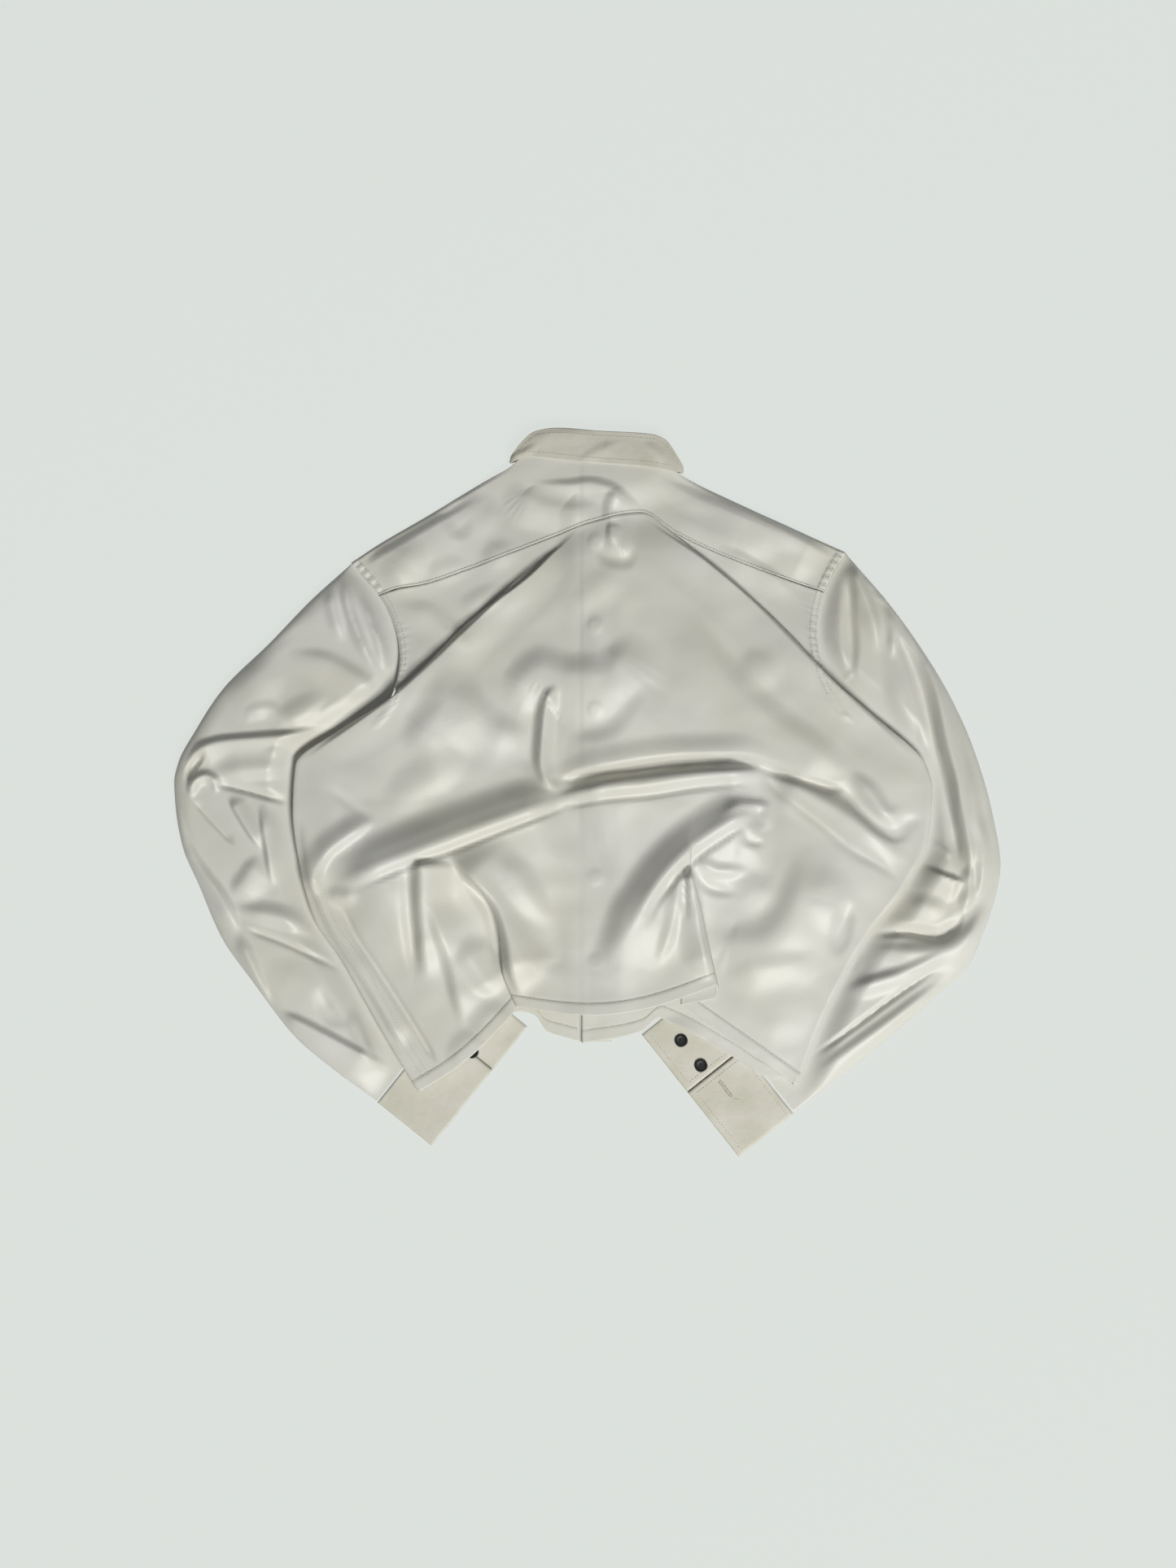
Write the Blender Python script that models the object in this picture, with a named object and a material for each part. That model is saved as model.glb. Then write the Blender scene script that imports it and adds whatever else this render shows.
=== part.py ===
# Crumpled boxy shirt, laid face down and seen from the back.
# Sizes are in millimetres here and become metres when a piece is made.

import math

import bmesh
import bpy
import numpy as np

MM = 0.001
# The middle of the shirt's outline, which becomes the origin
MIDDLE_X, MIDDLE_Y = 0.55, 0.4

# Colours
SATIN = (0.80, 0.80, 0.76)
FACED = (0.74, 0.72, 0.66)
BLACK = (0.015, 0.015, 0.015)

# Cloth
CLOTH = 1.5
BACK_CLOTH = 1.7
LAYER_GAP = 0.45
SEAM_GAP = 0.95
LAYER = CLOTH + LAYER_GAP
BACK_LAYER = BACK_CLOTH + LAYER_GAP

# Heights of the middle of each layer, with everything pressed flat
FRONT_LEVEL = CLOTH / 2
UNDER_LEVEL = CLOTH + LAYER_GAP + BACK_CLOTH / 2
SLEEVE_LOW = CLOTH / 2
SLEEVE_SHUT = SLEEVE_LOW + CLOTH + 0.5
SLEEVE_OPEN = SLEEVE_LOW + CLOTH + 1.1
CUFF_TOP = SLEEVE_OPEN + 0.2
REST_ON_SLEEVE = SLEEVE_OPEN + CLOTH / 2 + LAYER_GAP

# Buttons
BUTTON_RADIUS = 6.0
BUTTON_HEIGHT = 2.0
BUTTON_RIM_WIDTH = 1.2
BUTTON_RIM = 0.5
BUTTON_SIDES = 20
BUTTON_ROOM = 0.6
BUTTON_SPREAD = 26.0
FRONT_BUTTON_X = 8.0
FRONT_BUTTON_TOP_Y = 231.0
FRONT_BUTTON_STEP = 77.0
FRONT_BUTTONS = 6

# Gap under a cuff's button
THREAD = 0.35

# Placket
PLACKET_LEFT = -7.0
PLACKET_RIGHT = 23.0
PLACKET_TOP = 288.0
PLACKET_FOOT = -228.5
PLACKET_LIFT = BUTTON_HEIGHT + 0.3
OVERLAP_LIFT = PLACKET_LIFT + LAYER
OVERLAP_EDGE = -4.5
# How much of it shows through the back, below the yoke and in it
OVERLAP_SHOWS = 1.2
SHOWS_BELOW, SHOWS_ABOVE = 200.0, 238.0
RAMP = 20.0
PLACKET_CLEAR = PLACKET_RIGHT + 6.0
PLACKET_RAMP_END = PLACKET_CLEAR + RAMP

# How far the cloth goes under at each fold edge of the back, and the turn's depth
TUCK = 4.5
TURN = 1.6
# Where the same rows lie across a fold edge that hasn't begun yet
UNFOLDED = (-5.0, -3.5, -2.0, -0.8, 0.4, 1.6, 2.8, 4.0)

# Each edge below has a row for each level: share of the way down, x, y

LEFT_FOLD = (
    (0.0, -7.5, 244.0),
    (0.1, -54.8, 197.2),
    (0.2, -108.8, 156.8),
    (0.3, -178.5, 87.8),
    (0.36, -226.0, 58.0),
    (0.42, -267.0, 26.2),
    (0.5, -269.5, -16.0),
    (0.6, -262.5, -69.0),
    (0.7, -250.0, -114.0),
    (0.8, -222.0, -157.0),
    (0.9, -189.0, -216.0),
    (1.0, -154.5, -273.0),
)
RIGHT_FOLD = (
    (0.0, 59.2, 253.0),
    (0.1, 120.0, 204.5),
    (0.2, 179.2, 153.0),
    (0.3, 231.0, 98.2),
    (0.36, 263.0, 71.0),
    (0.42, 309.0, 29.0),
    (0.5, 316.5, 4.0),
    (0.6, 313.0, -40.0),
    (0.7, 292.0, -84.0),
    (0.8, 254.0, -135.0),
    (0.9, 219.0, -200.0),
    (1.0, 193.0, -267.0),
)

# Armholes: top of the shoulder, middle and underarm, and the shares of them where
# the yoke seam meets them and where the fold edge crosses them
LEFT_ARMHOLE = ((-216.8, 211.5), (-173.8, 108.8), (-256.0, 8.0))
RIGHT_ARMHOLE = ((238.5, 221.0), (216.0, 118.0), (300.0, 10.0))
LEFT_SEAM_AT, LEFT_CROSS_AT, LEFT_CROSS_DOWN = 0.145, 0.56, 0.295
RIGHT_SEAM_AT, RIGHT_CROSS_AT, RIGHT_CROSS_DOWN = 0.18, 0.5, 0.262
ARMHOLE_GAP = 1.0
YOKE_SHORT = 0.975
UNDERARM_SLACK = 8.0

LEFT_LAP = (
    (0.0, 10.0, 251.0),
    (0.1, -4.0, 200.0),
    (0.2, -25.0, 150.0),
    (0.3, -50.0, 95.0),
    (0.42, -85.0, 35.0),
    (0.5, -108.0, -8.0),
    (0.6, -126.0, -50.0),
    (0.7, -96.0, -90.0),
    (0.8, -80.0, -125.0),
    (0.9, -77.0, -162.0),
    (1.0, -64.5, -194.5),
)
RIGHT_LAP = (
    (0.0, 38.0, 257.5),
    (0.1, 62.0, 205.0),
    (0.2, 82.0, 155.0),
    (0.3, 95.0, 105.0),
    (0.42, 104.0, 55.0),
    (0.5, 106.0, 26.0),
    (0.6, 98.0, -20.0),
    (0.7, 95.0, -66.0),
    (0.8, 104.0, -102.0),
    (0.9, 112.0, -140.0),
    (1.0, 120.0, -175.0),
)

# Reach of the under layer of the right lap: share of the way down, reach
LAP_TUCK = (
    (0.0, 4.5),
    (0.7, 6.0),
    (0.85, 16.0),
    (1.0, 34.0),
)
LAP_START = 0.58
LAP_FULL = 0.72
# Bow of the middle hem and of the left part's, and how far the right lap's hangs lower
HEM_BOW = 17.0
LEFT_HEM_BOW = 8.0
LAP_HEM_DROP = 18.0

YOKE_SEAM = (
    (0.0, -193.5, 181.0),
    (0.05, -177.0, 187.0),
    (0.12, -150.8, 192.0),
    (0.22, -108.8, 206.2),
    (0.4, -30.8, 236.2),
    (0.5, 10.0, 251.0),
    (0.6, 49.5, 258.5),
    (0.68, 81.8, 239.0),
    (0.78, 119.2, 221.2),
    (0.92, 179.2, 198.0),
    (1.0, 217.5, 184.8),
)
YOKE_TOP = (
    (0.0, -216.0, 211.0),
    (0.08, -188.2, 230.2),
    (0.18, -143.2, 257.0),
    (0.3, -90.8, 288.4),
    (0.35, -72.0, 298.5),
    (0.4, -52.0, 312.5),
    (0.44, -28.5, 311.0),
    (0.5, 5.0, 307.5),
    (0.58, 50.0, 304.5),
    (0.63, 76.0, 299.5),
    (0.66, 90.0, 290.5),
    (0.76, 140.0, 266.0),
    (0.88, 190.0, 243.0),
    (1.0, 238.0, 221.0),
)
# The back neck lies on the folded collar
NECK_HEIGHT = 5.0
NECK_X, NECK_Y = 8.0, 308.0
NECK_WIDE, NECK_DEEP = 78.0, 34.0
# Beyond these distances from the neck, the yoke's top edge drops onto the fronts
SHOULDER_NEAR, SHOULDER_FAR = 70.0, 110.0

LEFT_SLEEVE_OUTER = (
    (0.0, *LEFT_ARMHOLE[0]),
    (0.08, -252.8, 179.2),
    (0.17, -291.0, 139.5),
    (0.27, -336.0, 95.2),
    (0.35, -360.0, 58.5),
    (0.42, -376.5, 27.0),
    (0.45, -379.8, 11.0),
    (0.5, -378.5, -12.0),
    (0.57, -372.0, -48.8),
    (0.64, -357.0, -84.0),
    (0.72, -336.0, -132.8),
    (0.8, -304.0, -178.0),
    (0.88, -267.8, -225.0),
    (0.94, -230.2, -256.5),
    (1.0, -193.5, -283.0),
)
LEFT_SLEEVE_MIDDLE = (
    (0.0, *LEFT_ARMHOLE[1]),
    (0.15, -234.0, 78.0),
    (0.3, -274.0, 30.0),
    (0.45, -300.0, -14.0),
    (0.6, -290.0, -62.0),
    (0.75, -250.0, -125.0),
    (0.88, -200.0, -185.0),
    (1.0, -149.5, -228.0),
)
LEFT_SLEEVE_INNER = (
    (0.0, *LEFT_ARMHOLE[2]),
    (0.1, -258.0, -6.0),
    (0.2, -248.0, -22.0),
    (0.45, -210.0, -56.0),
    (0.65, -178.0, -85.0),
    (0.85, -142.0, -135.0),
    (1.0, -105.5, -173.0),
)
RIGHT_SLEEVE_OUTER = (
    (0.0, *RIGHT_ARMHOLE[0]),
    (0.1, 282.8, 168.8),
    (0.18, 309.8, 130.5),
    (0.27, 334.5, 89.2),
    (0.36, 355.0, 44.0),
    (0.48, 373.5, -18.8),
    (0.57, 381.0, -66.8),
    (0.63, 376.0, -96.0),
    (0.7, 364.5, -129.8),
    (0.76, 351.0, -159.0),
    (0.83, 324.0, -185.0),
    (0.92, 261.8, -238.5),
    (1.0, 191.5, -293.5),
)
RIGHT_SLEEVE_MIDDLE = (
    (0.0, *RIGHT_ARMHOLE[1]),
    (0.15, 266.0, 84.0),
    (0.3, 300.0, 30.0),
    (0.45, 312.0, -25.0),
    (0.6, 300.0, -75.0),
    (0.75, 262.0, -135.0),
    (0.88, 205.0, -190.0),
    (1.0, 146.5, -237.0),
)
RIGHT_SLEEVE_INNER = (
    (0.0, *RIGHT_ARMHOLE[2]),
    (0.1, 304.0, -6.0),
    (0.2, 296.0, -24.0),
    (0.45, 243.0, -56.0),
    (0.65, 198.0, -92.0),
    (0.85, 145.0, -145.0),
    (1.0, 102.0, -180.5),
)
# How high a sleeve's top stands, how far its rounded edge and its hollow beside
# the body reach
SLEEVE_PUFF = 9.0
SLEEVE_ROUND = 16.0
SLEEVE_HOLLOW = 26.0
SEAM_HOLLOW = 22.0
# How the body eases down from a hidden sleeve to the fronts
BEYOND = 250.0
UNDERARM_ROOM = 9.0
HIDDEN_MARGIN = 21.0
HIDDEN_RAMP = 29.0

# Cuffs: corner at the sleeve's outer edge, corner at its inner edge, height and slit
LEFT_CUFF = {
    "outer": (-193.5, -284.0),
    "inner": (-105.5, -174.0),
    "slit": 0.64,
    "buttons": (17.0, 49.8),
}
RIGHT_CUFF = {
    "outer": (191.0, -294.5),
    "inner": (101.5, -181.5),
    "slit": 0.53,
    "buttons": (27.0, 56.4),
}
CUFF_HEIGHT = 65.0
CUFF_SLIT_GAP = 1.2
CUFF_BUTTON_UP = 25.0

FRONT_LEFT_INNER = (
    (0.0, -72.0, 294.0),
    (0.04, -44.0, 301.0),
    (0.08, -7.8, 300.0),
    (0.14, -7.8, 272.0),
    (0.43, -7.8, 12.0),
    (1.0, -7.8, -227.5),
)
FRONT_RIGHT_INNER = (
    (0.0, 88.0, 286.0),
    (0.04, 50.0, 293.0),
    (0.08, -4.5, 300.0),
    (0.14, -4.5, 272.0),
    (0.43, -4.5, 12.0),
    (1.0, -4.5, -229.8),
)
# Where a front's armhole starts and ends, and its rows down the armhole and the side
FRONT_SHOULDER = 0.03
FRONT_UNDERARM = 0.9
FRONT_ARMHOLE_ROWS = 8
FRONT_SIDE_ROWS = 9
FRONT_SIDE_INSET = 4.5
LEFT_FRONT_CORNER = (-151.5, -267.0)
RIGHT_FRONT_CORNER = (189.5, -262.0)
# The hems of the fronts: share of the way across, how far above a straight line
LEFT_FRONT_HEM = (
    (0.0, 0.0),
    (0.3, 20.0),
    (0.6, 42.0),
    (0.72, 35.0),
    (0.8, 17.0),
    (0.9, 8.0),
    (1.0, 0.0),
)
RIGHT_FRONT_HEM = (
    (0.0, 0.0),
    (0.13, -2.0),
    (0.3, 12.0),
    (0.58, 33.0),
    (0.63, 35.0),
    (0.72, 20.0),
    (1.0, 0.0),
)

COLLAR_TOP = (
    (0.0, -69.5, 309.0),
    (0.06, -63.0, 319.0),
    (0.16, -47.2, 332.5),
    (0.28, -28.5, 335.5),
    (0.5, 9.0, 333.0),
    (0.78, 58.5, 330.0),
    (0.86, 71.2, 325.5),
    (0.94, 80.5, 314.0),
    (1.0, 88.0, 300.5),
)
COLLAR_LOW = (
    (0.0, -70.5, 303.5),
    (0.1, -53.2, 309.0),
    (0.28, -28.5, 307.0),
    (0.5, 5.0, 303.5),
    (0.75, 50.0, 300.5),
    (1.0, 88.5, 294.5),
)

# Height of the folded collar at its foot, share of it left at the head, width of its
# round ends, and where its underside is open
COLLAR_RISE = 10.2
COLLAR_SHUT = 0.62
COLLAR_END = 0.03
COLLAR_OPEN = (0.42, 0.58)
STAND_INSET = CLOTH + 0.5
STAND_FOOT = 5.4
STAND_HEAD = 2.0

# Folds of the back and yoke, left and right as seen going from the start to the end.
# Name, start x y, first bend x y, second bend x y, end x y, height, left width,
# right width, share of the length that rises, share that falls
BACK_FOLDS = (
    ("roll, left half", -236, -76, -190, -56, -100, -28, -20, 0, 15, 30, 15, 0.25, 0.3),
    ("roll, right half", -60, -14, 5, 6, 90, 19, 163, 20, 17, 20, 15, 0.3, 0.2),
    ("roll, tail to the right", 128, 22, 180, 6, 228, -30, 288, -66, 13, 30, 26, 0.3, 0.5),
    ("left bright ridge", -244, -84, -232, -58, -205, -38, -180, -30, 7, 12, 12, 0.3, 0.6),
    ("big ridge, right", 152, 2, 95, -30, 52, -80, 28, -126, 11, 14, 22, 0.3, 0.5),
    ("crease to the roll", -36, 74, -42, 50, -44, 30, -40, 6, 6, 12, 9, 0.4, 0.3),
    ("lower left ridge", -152, -46, -150, -90, -152, -130, -154, -168, 6, 10, 14, 0.2, 0.5),
    ("left lap crest", -122, -46, -98, -86, -76, -120, -68, -170, 6, 4, 26, 0.3, 0.3),
    ("right lap crest", 90, -56, 101, -96, 110, -135, 119, -172, 7, 26, 4, 0.3, 0.3),
    ("left fold edge", -10, 232, -84, 172, -178, 86, -262, 28, 6, 50, 4, 0.2, 0.25),
    ("right fold edge", 52, 252, 130, 195, 215, 112, 305, 30, 6, 4, 50, 0.2, 0.25),
    ("yoke fold", -42, 284, -4, 288, 40, 268, 104, 219, 7, 5, 34, 0.3, 0.3),
    ("yoke left swell", -150, 236, -112, 238, -84, 252, -66, 266, 4, 14, 18, 0.4, 0.4),
    ("swell under the yoke", 20, 238, 26, 212, 20, 190, 10, 160, 5, 18, 22, 0.3, 0.6),
    ("left wing swell", -230, 30, -170, 60, -110, 92, -70, 120, 6, 42, 40, 0.4, 0.4),
    ("right wing swell", 130, 120, 190, 70, 240, 30, 290, 0, 7, 40, 40, 0.4, 0.4),
    ("right shoulder dip", 108, 178, 150, 140, 210, 100, 260, 60, 3, 20, 20, 0.4, 0.4),
    ("small rise by the crease", -70, 86, -62, 62, -66, 40, -84, 22, 5, 12, 12, 0.4, 0.4),
    ("lower middle rise", -40, -40, -34, -90, -30, -130, -20, -180, 4, 24, 24, 0.4, 0.4),
    ("lower right rise", 170, -70, 196, -110, 200, -160, 188, -222, 8, 26, 20, 0.3, 0.4),
    ("lower left edge rise", -236, -96, -214, -140, -186, -190, -156, -246, 4, 18, 14, 0.3, 0.3),
)
# Folds of the sleeves, read the same way
SLEEVE_FOLDS = (
    ("left elbow, upper roll", -366, 20, -340, 42, -290, 52, -224, 64, 7, 5, 10, 0.2, 0.4),
    ("left elbow, middle roll", -352, 0, -338, 22, -310, 28, -272, 24, 8, 9, 8, 0.2, 0.4),
    ("left elbow, knuckle", -368, -10, -352, 8, -330, 4, -276, -8, 6, 6, 8, 0.3, 0.4),
    ("left forearm, first pleat", -332, 0, -322, -30, -308, -50, -294, -52, 6, 5, 9, 0.3, 0.3),
    ("left forearm, second pleat", -298, -8, -292, -42, -290, -62, -288, -86, 5, 8, 5, 0.3, 0.4),
    ("left forearm, long edge", -376, -10, -364, -52, -330, -100, -296, -156, 6, 12, 7, 0.2, 0.4),
    ("left forearm, cross fold", -320, -108, -290, -118, -262, -128, -238, -136, 4, 6, 8, 0.3, 0.4),
    ("left forearm, low fold", -278, -200, -250, -216, -220, -232, -186, -250, 5, 6, 9, 0.3, 0.4),
    ("left upper arm, arc", -262, 134, -232, 124, -208, 104, -188, 80, 4, 9, 12, 0.3, 0.4),
    ("right sleeve, long trough", 284, 160, 306, 112, 328, 30, 342, -70, 7, 22, 12, 0.3, 0.4),
    ("right sleeve, upper ridge", 243, 212, 254, 190, 262, 160, 268, 132, 4, 8, 10, 0.3, 0.4),
    ("right forearm, elbow fold", 306, -66, 326, -76, 346, -84, 362, -100, 7, 7, 10, 0.3, 0.4),
    ("right forearm, cross fold", 262, -128, 292, -128, 324, -130, 344, -104, 6, 8, 10, 0.3, 0.4),
    ("right forearm, long fold", 236, -172, 270, -164, 310, -146, 350, -128, 5, 8, 10, 0.3, 0.4),
    ("right forearm, low edge", 200, -246, 236, -220, 276, -190, 318, -158, 5, 10, 6, 0.3, 0.4),
)
MAIN_SWELL = 3.0

# Triangles kept in each piece
KEPT = {
    "back": 7200,
    "yoke": 1100,
    "front_left": 880,
    "front_right": 1040,
    "placket": 120,
    "collar_leaf": 700,
    "collar_stand": 420,
    "sleeve_left": 2300,
    "sleeve_right": 2200,
    "cuff_left": 260,
    "cuff_right": 260,
}


def curve(table, share):
    # A smooth line through a table's rows, at each share of the way along
    rows = np.array(table, float)
    at, values = rows[:, 0], rows[:, 1:]
    share = np.clip(share, at[0], at[-1])
    slopes = easy_slopes(at, values)
    k = np.clip(np.searchsorted(at, share, side="right") - 1, 0, len(at) - 2)
    step = (at[k + 1] - at[k])[..., None]
    t = ((share - at[k]) / (at[k + 1] - at[k]))[..., None]
    return (
        (2 * t**3 - 3 * t**2 + 1) * values[k]
        + (t**3 - 2 * t**2 + t) * step * slopes[k]
        + (3 * t**2 - 2 * t**3) * values[k + 1]
        + (t**3 - t**2) * step * slopes[k + 1]
    )


def easy_slopes(at, values):
    # Slopes at a table's rows that never swing past the rows themselves
    steps = np.diff(at)[:, None]
    rises = np.diff(values, axis=0) / steps
    slopes = np.empty_like(values)
    slopes[0], slopes[-1] = rises[0], rises[-1]
    before, after = rises[:-1], rises[1:]
    same = before * after > 0
    near, far = 2 * steps[1:] + steps[:-1], steps[1:] + 2 * steps[:-1]
    safe_before, safe_after = np.where(same, before, 1.0), np.where(same, after, 1.0)
    mean = (near + far) / (near / safe_before + far / safe_after)
    slopes[1:-1] = np.where(same, mean, 0.0)
    return slopes


def ease(low, high, value):
    # Rises smoothly from 0 at low to 1 at high
    t = np.clip((value - low) / (high - low), 0.0, 1.0)
    return t * t * (3 - 2 * t)


def spine(points, steps=28):
    # A rounded line through a fold's four points
    shares = np.linspace(0.0, 1.0, len(points))
    table = np.column_stack([shares, np.array(points, float)])
    return curve(table, np.linspace(0.0, 1.0, steps))


def to_line(x, y, line):
    # Distance to a line, positive on its left, and the share of the way along it
    best = np.full(x.shape, 1e9)
    beside = np.zeros(x.shape)
    share = np.zeros(x.shape)
    count = len(line) - 1
    for i in range(count):
        ax, ay = line[i]
        dx, dy = line[i + 1] - line[i]
        t = np.clip(((x - ax) * dx + (y - ay) * dy) / (dx * dx + dy * dy), 0.0, 1.0)
        gap_x, gap_y = x - ax - t * dx, y - ay - t * dy
        gap = np.hypot(gap_x, gap_y)
        across = (dx * gap_y - dy * gap_x) / math.hypot(dx, dy)
        tied = (gap < best + 1e-6) & (np.abs(across) > np.abs(beside))
        near = (gap < best - 1e-6) | tied
        best = np.where(near, gap, best)
        beside = np.where(near, across, beside)
        share = np.where(near, (i + t) / count, share)
    return best * np.where(beside < 0, -1.0, 1.0), share


def fold_rise(x, y, fold):
    # The height that one fold adds at each place
    points = np.array(fold[1:9], float).reshape(4, 2)
    height, left, right, rises, falls = fold[9:]
    away, share = to_line(x, y, spine(points))
    width = np.where(away > 0, left, right)
    across = np.clip(np.abs(away) / width, 0.0, 1.0)
    along = ease(0.0, rises, share) * ease(0.0, falls, 1.0 - share)
    return height * along * 0.5 * (1 + np.cos(math.pi * across))


def armhole(points, share):
    # A point of an armhole, which is a smooth bend through its three points
    share = np.asarray(share, float)[..., None]
    weights = ((share - 0.5) * (share - 1) * 2, -4 * share * (share - 1), 2 * share * (share - 0.5))
    return sum(weight * np.array(point) for weight, point in zip(weights, points))


def beside_armhole(points, share, gap):
    # The same, a gap away on the body's side
    share = np.asarray(share, float)
    along = armhole(points, share + 0.01) - armhole(points, share - 0.01)
    along /= np.linalg.norm(along, axis=-1, keepdims=True)
    facing = math.copysign(1.0, -points[0][0])
    side = np.stack([-along[..., 1], along[..., 0]], axis=-1)
    return armhole(points, share) + side * gap * facing


def over_arm(x, y, upper):
    # 1 where cloth lies on a hidden sleeve or cuff, easing to 0 beside it.
    # With upper, the part of the sleeve above the underarm counts too
    spread = 0.0 * x
    for inner, cuff, hole, cross, side in (
        (LEFT_SLEEVE_INNER, LEFT_CUFF, LEFT_ARMHOLE, LEFT_CROSS_AT, 1.0),
        (RIGHT_SLEEVE_INNER, RIGHT_CUFF, RIGHT_ARMHOLE, RIGHT_CROSS_AT, -1.0),
    ):
        line = curve(inner, np.linspace(0.0, 1.0, 20))
        foot = cuff_corner(cuff, "inner")
        end = foot + (foot - np.array(cuff["inner"])) * 0.3
        start = line[:1] - np.array((BEYOND * side, -UNDERARM_ROOM))
        if upper:
            start = armhole(hole, np.linspace(cross + 0.1, 0.97, 8))
            start = np.vstack([start[:1] - np.array((BEYOND * side, 0.0)), start])
        away, _ = to_line(x, y, np.vstack([start, line, foot, end]))
        within = ease(-HIDDEN_MARGIN - HIDDEN_RAMP, -HIDDEN_MARGIN, -away * side)
        spread = np.maximum(spread, within)
    return spread


def centre_lift(x, peak, foot):
    # Raises the cloth over the placket, easing down beyond its two edges
    return peak * ease(foot - RAMP, foot, x) * ease(PLACKET_RAMP_END, PLACKET_CLEAR, x)


def body_lift(x, y, upper=False):
    # The rise of the body's layers off the floor where they lie on a sleeve
    return REST_ON_SLEEVE * over_arm(x, y, upper)


def button_lift(x, y):
    # Room for the cuffs' buttons under the hems
    lift = 0.0 * x
    for cuff in (LEFT_CUFF, RIGHT_CUFF):
        for button in cuff_button_places(cuff):
            away = np.hypot(x - button[0], y - button[1])
            near = ease(BUTTON_SPREAD, 1.5 * BUTTON_RADIUS, away)
            lift = np.maximum(lift, (BUTTON_HEIGHT + BUTTON_ROOM) * near)
    return lift


def neck_lift(x, y):
    away = np.hypot((x - NECK_X) / NECK_WIDE, (y - NECK_Y) / NECK_DEEP)
    return NECK_HEIGHT * ease(1.6, 0.75, away)


def back_relief(x, y):
    # Height of the folds of the back and yoke
    above = ease(SHOWS_BELOW, SHOWS_ABOVE, y)
    placket = OVERLAP_SHOWS + (OVERLAP_LIFT - OVERLAP_SHOWS) * above
    rise = np.maximum(centre_lift(x, 1.0, OVERLAP_EDGE - 3.0) * placket, neck_lift(x, y))
    rise = rise + MAIN_SWELL * over_main(x, y) * ease(262.0, 222.0, y)
    for fold in BACK_FOLDS:
        rise = rise + fold_rise(x, y, fold)
    return rise


def over_main(x, y):
    # 1 well inside the main panel of the back, easing to 0 at its fold edges
    levels = np.linspace(0.0, 1.0, 24)
    left, _ = to_line(x, y, curve(LEFT_FOLD, levels))
    right, _ = to_line(x, y, curve(RIGHT_FOLD, levels))
    return ease(2.0, 40.0, left) * ease(2.0, 40.0, -right)


def back_lift(x, y):
    return body_lift(x, y, True) + back_relief(x, y) + button_lift(x, y)


def step_under(edge, tuck, side, shift=0.0, gain=1.0):
    # Places across a fold edge, from the under layer, round both turns, to the top.
    # side is 1 where the top lies to the right of the edge
    tuck = np.maximum(tuck, TUCK)
    bends = (
        (tuck - TURN, 0.0, 1.0),
        (tuck - 0.3, 0.25, 1.0),
        (tuck - 0.3, 0.75, 1.0),
        (tuck - TURN, 1.0, 1.0),
        (TURN + 0.0 * tuck, 1.0, 0.7),
        (0.3 + 0.0 * tuck, 1.25, 0.4),
        (0.3 + 0.0 * tuck, 1.75, 0.1),
        (TURN + 0.0 * tuck, 2.0, 0.0),
    )
    folded = ease(0.45, 1.0, gain)
    places = []
    for away, (reach, level, hang) in zip(UNFOLDED, bends):
        x = edge[..., 0] + side * (folded * reach + (1 - folded) * away)
        y = edge[..., 1] + shift * hang * folded
        flat_level = 2.0 * (away - UNFOLDED[0]) / (UNFOLDED[-1] - UNFOLDED[0])
        z = folded * level + (1 - folded) * flat_level
        places.append((x, y, z))
    return places


def between(start, end, count):
    # Even places strictly between two sets of points
    return [start + (end - start) * k / (count + 1) for k in range(1, count + 1)]


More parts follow.
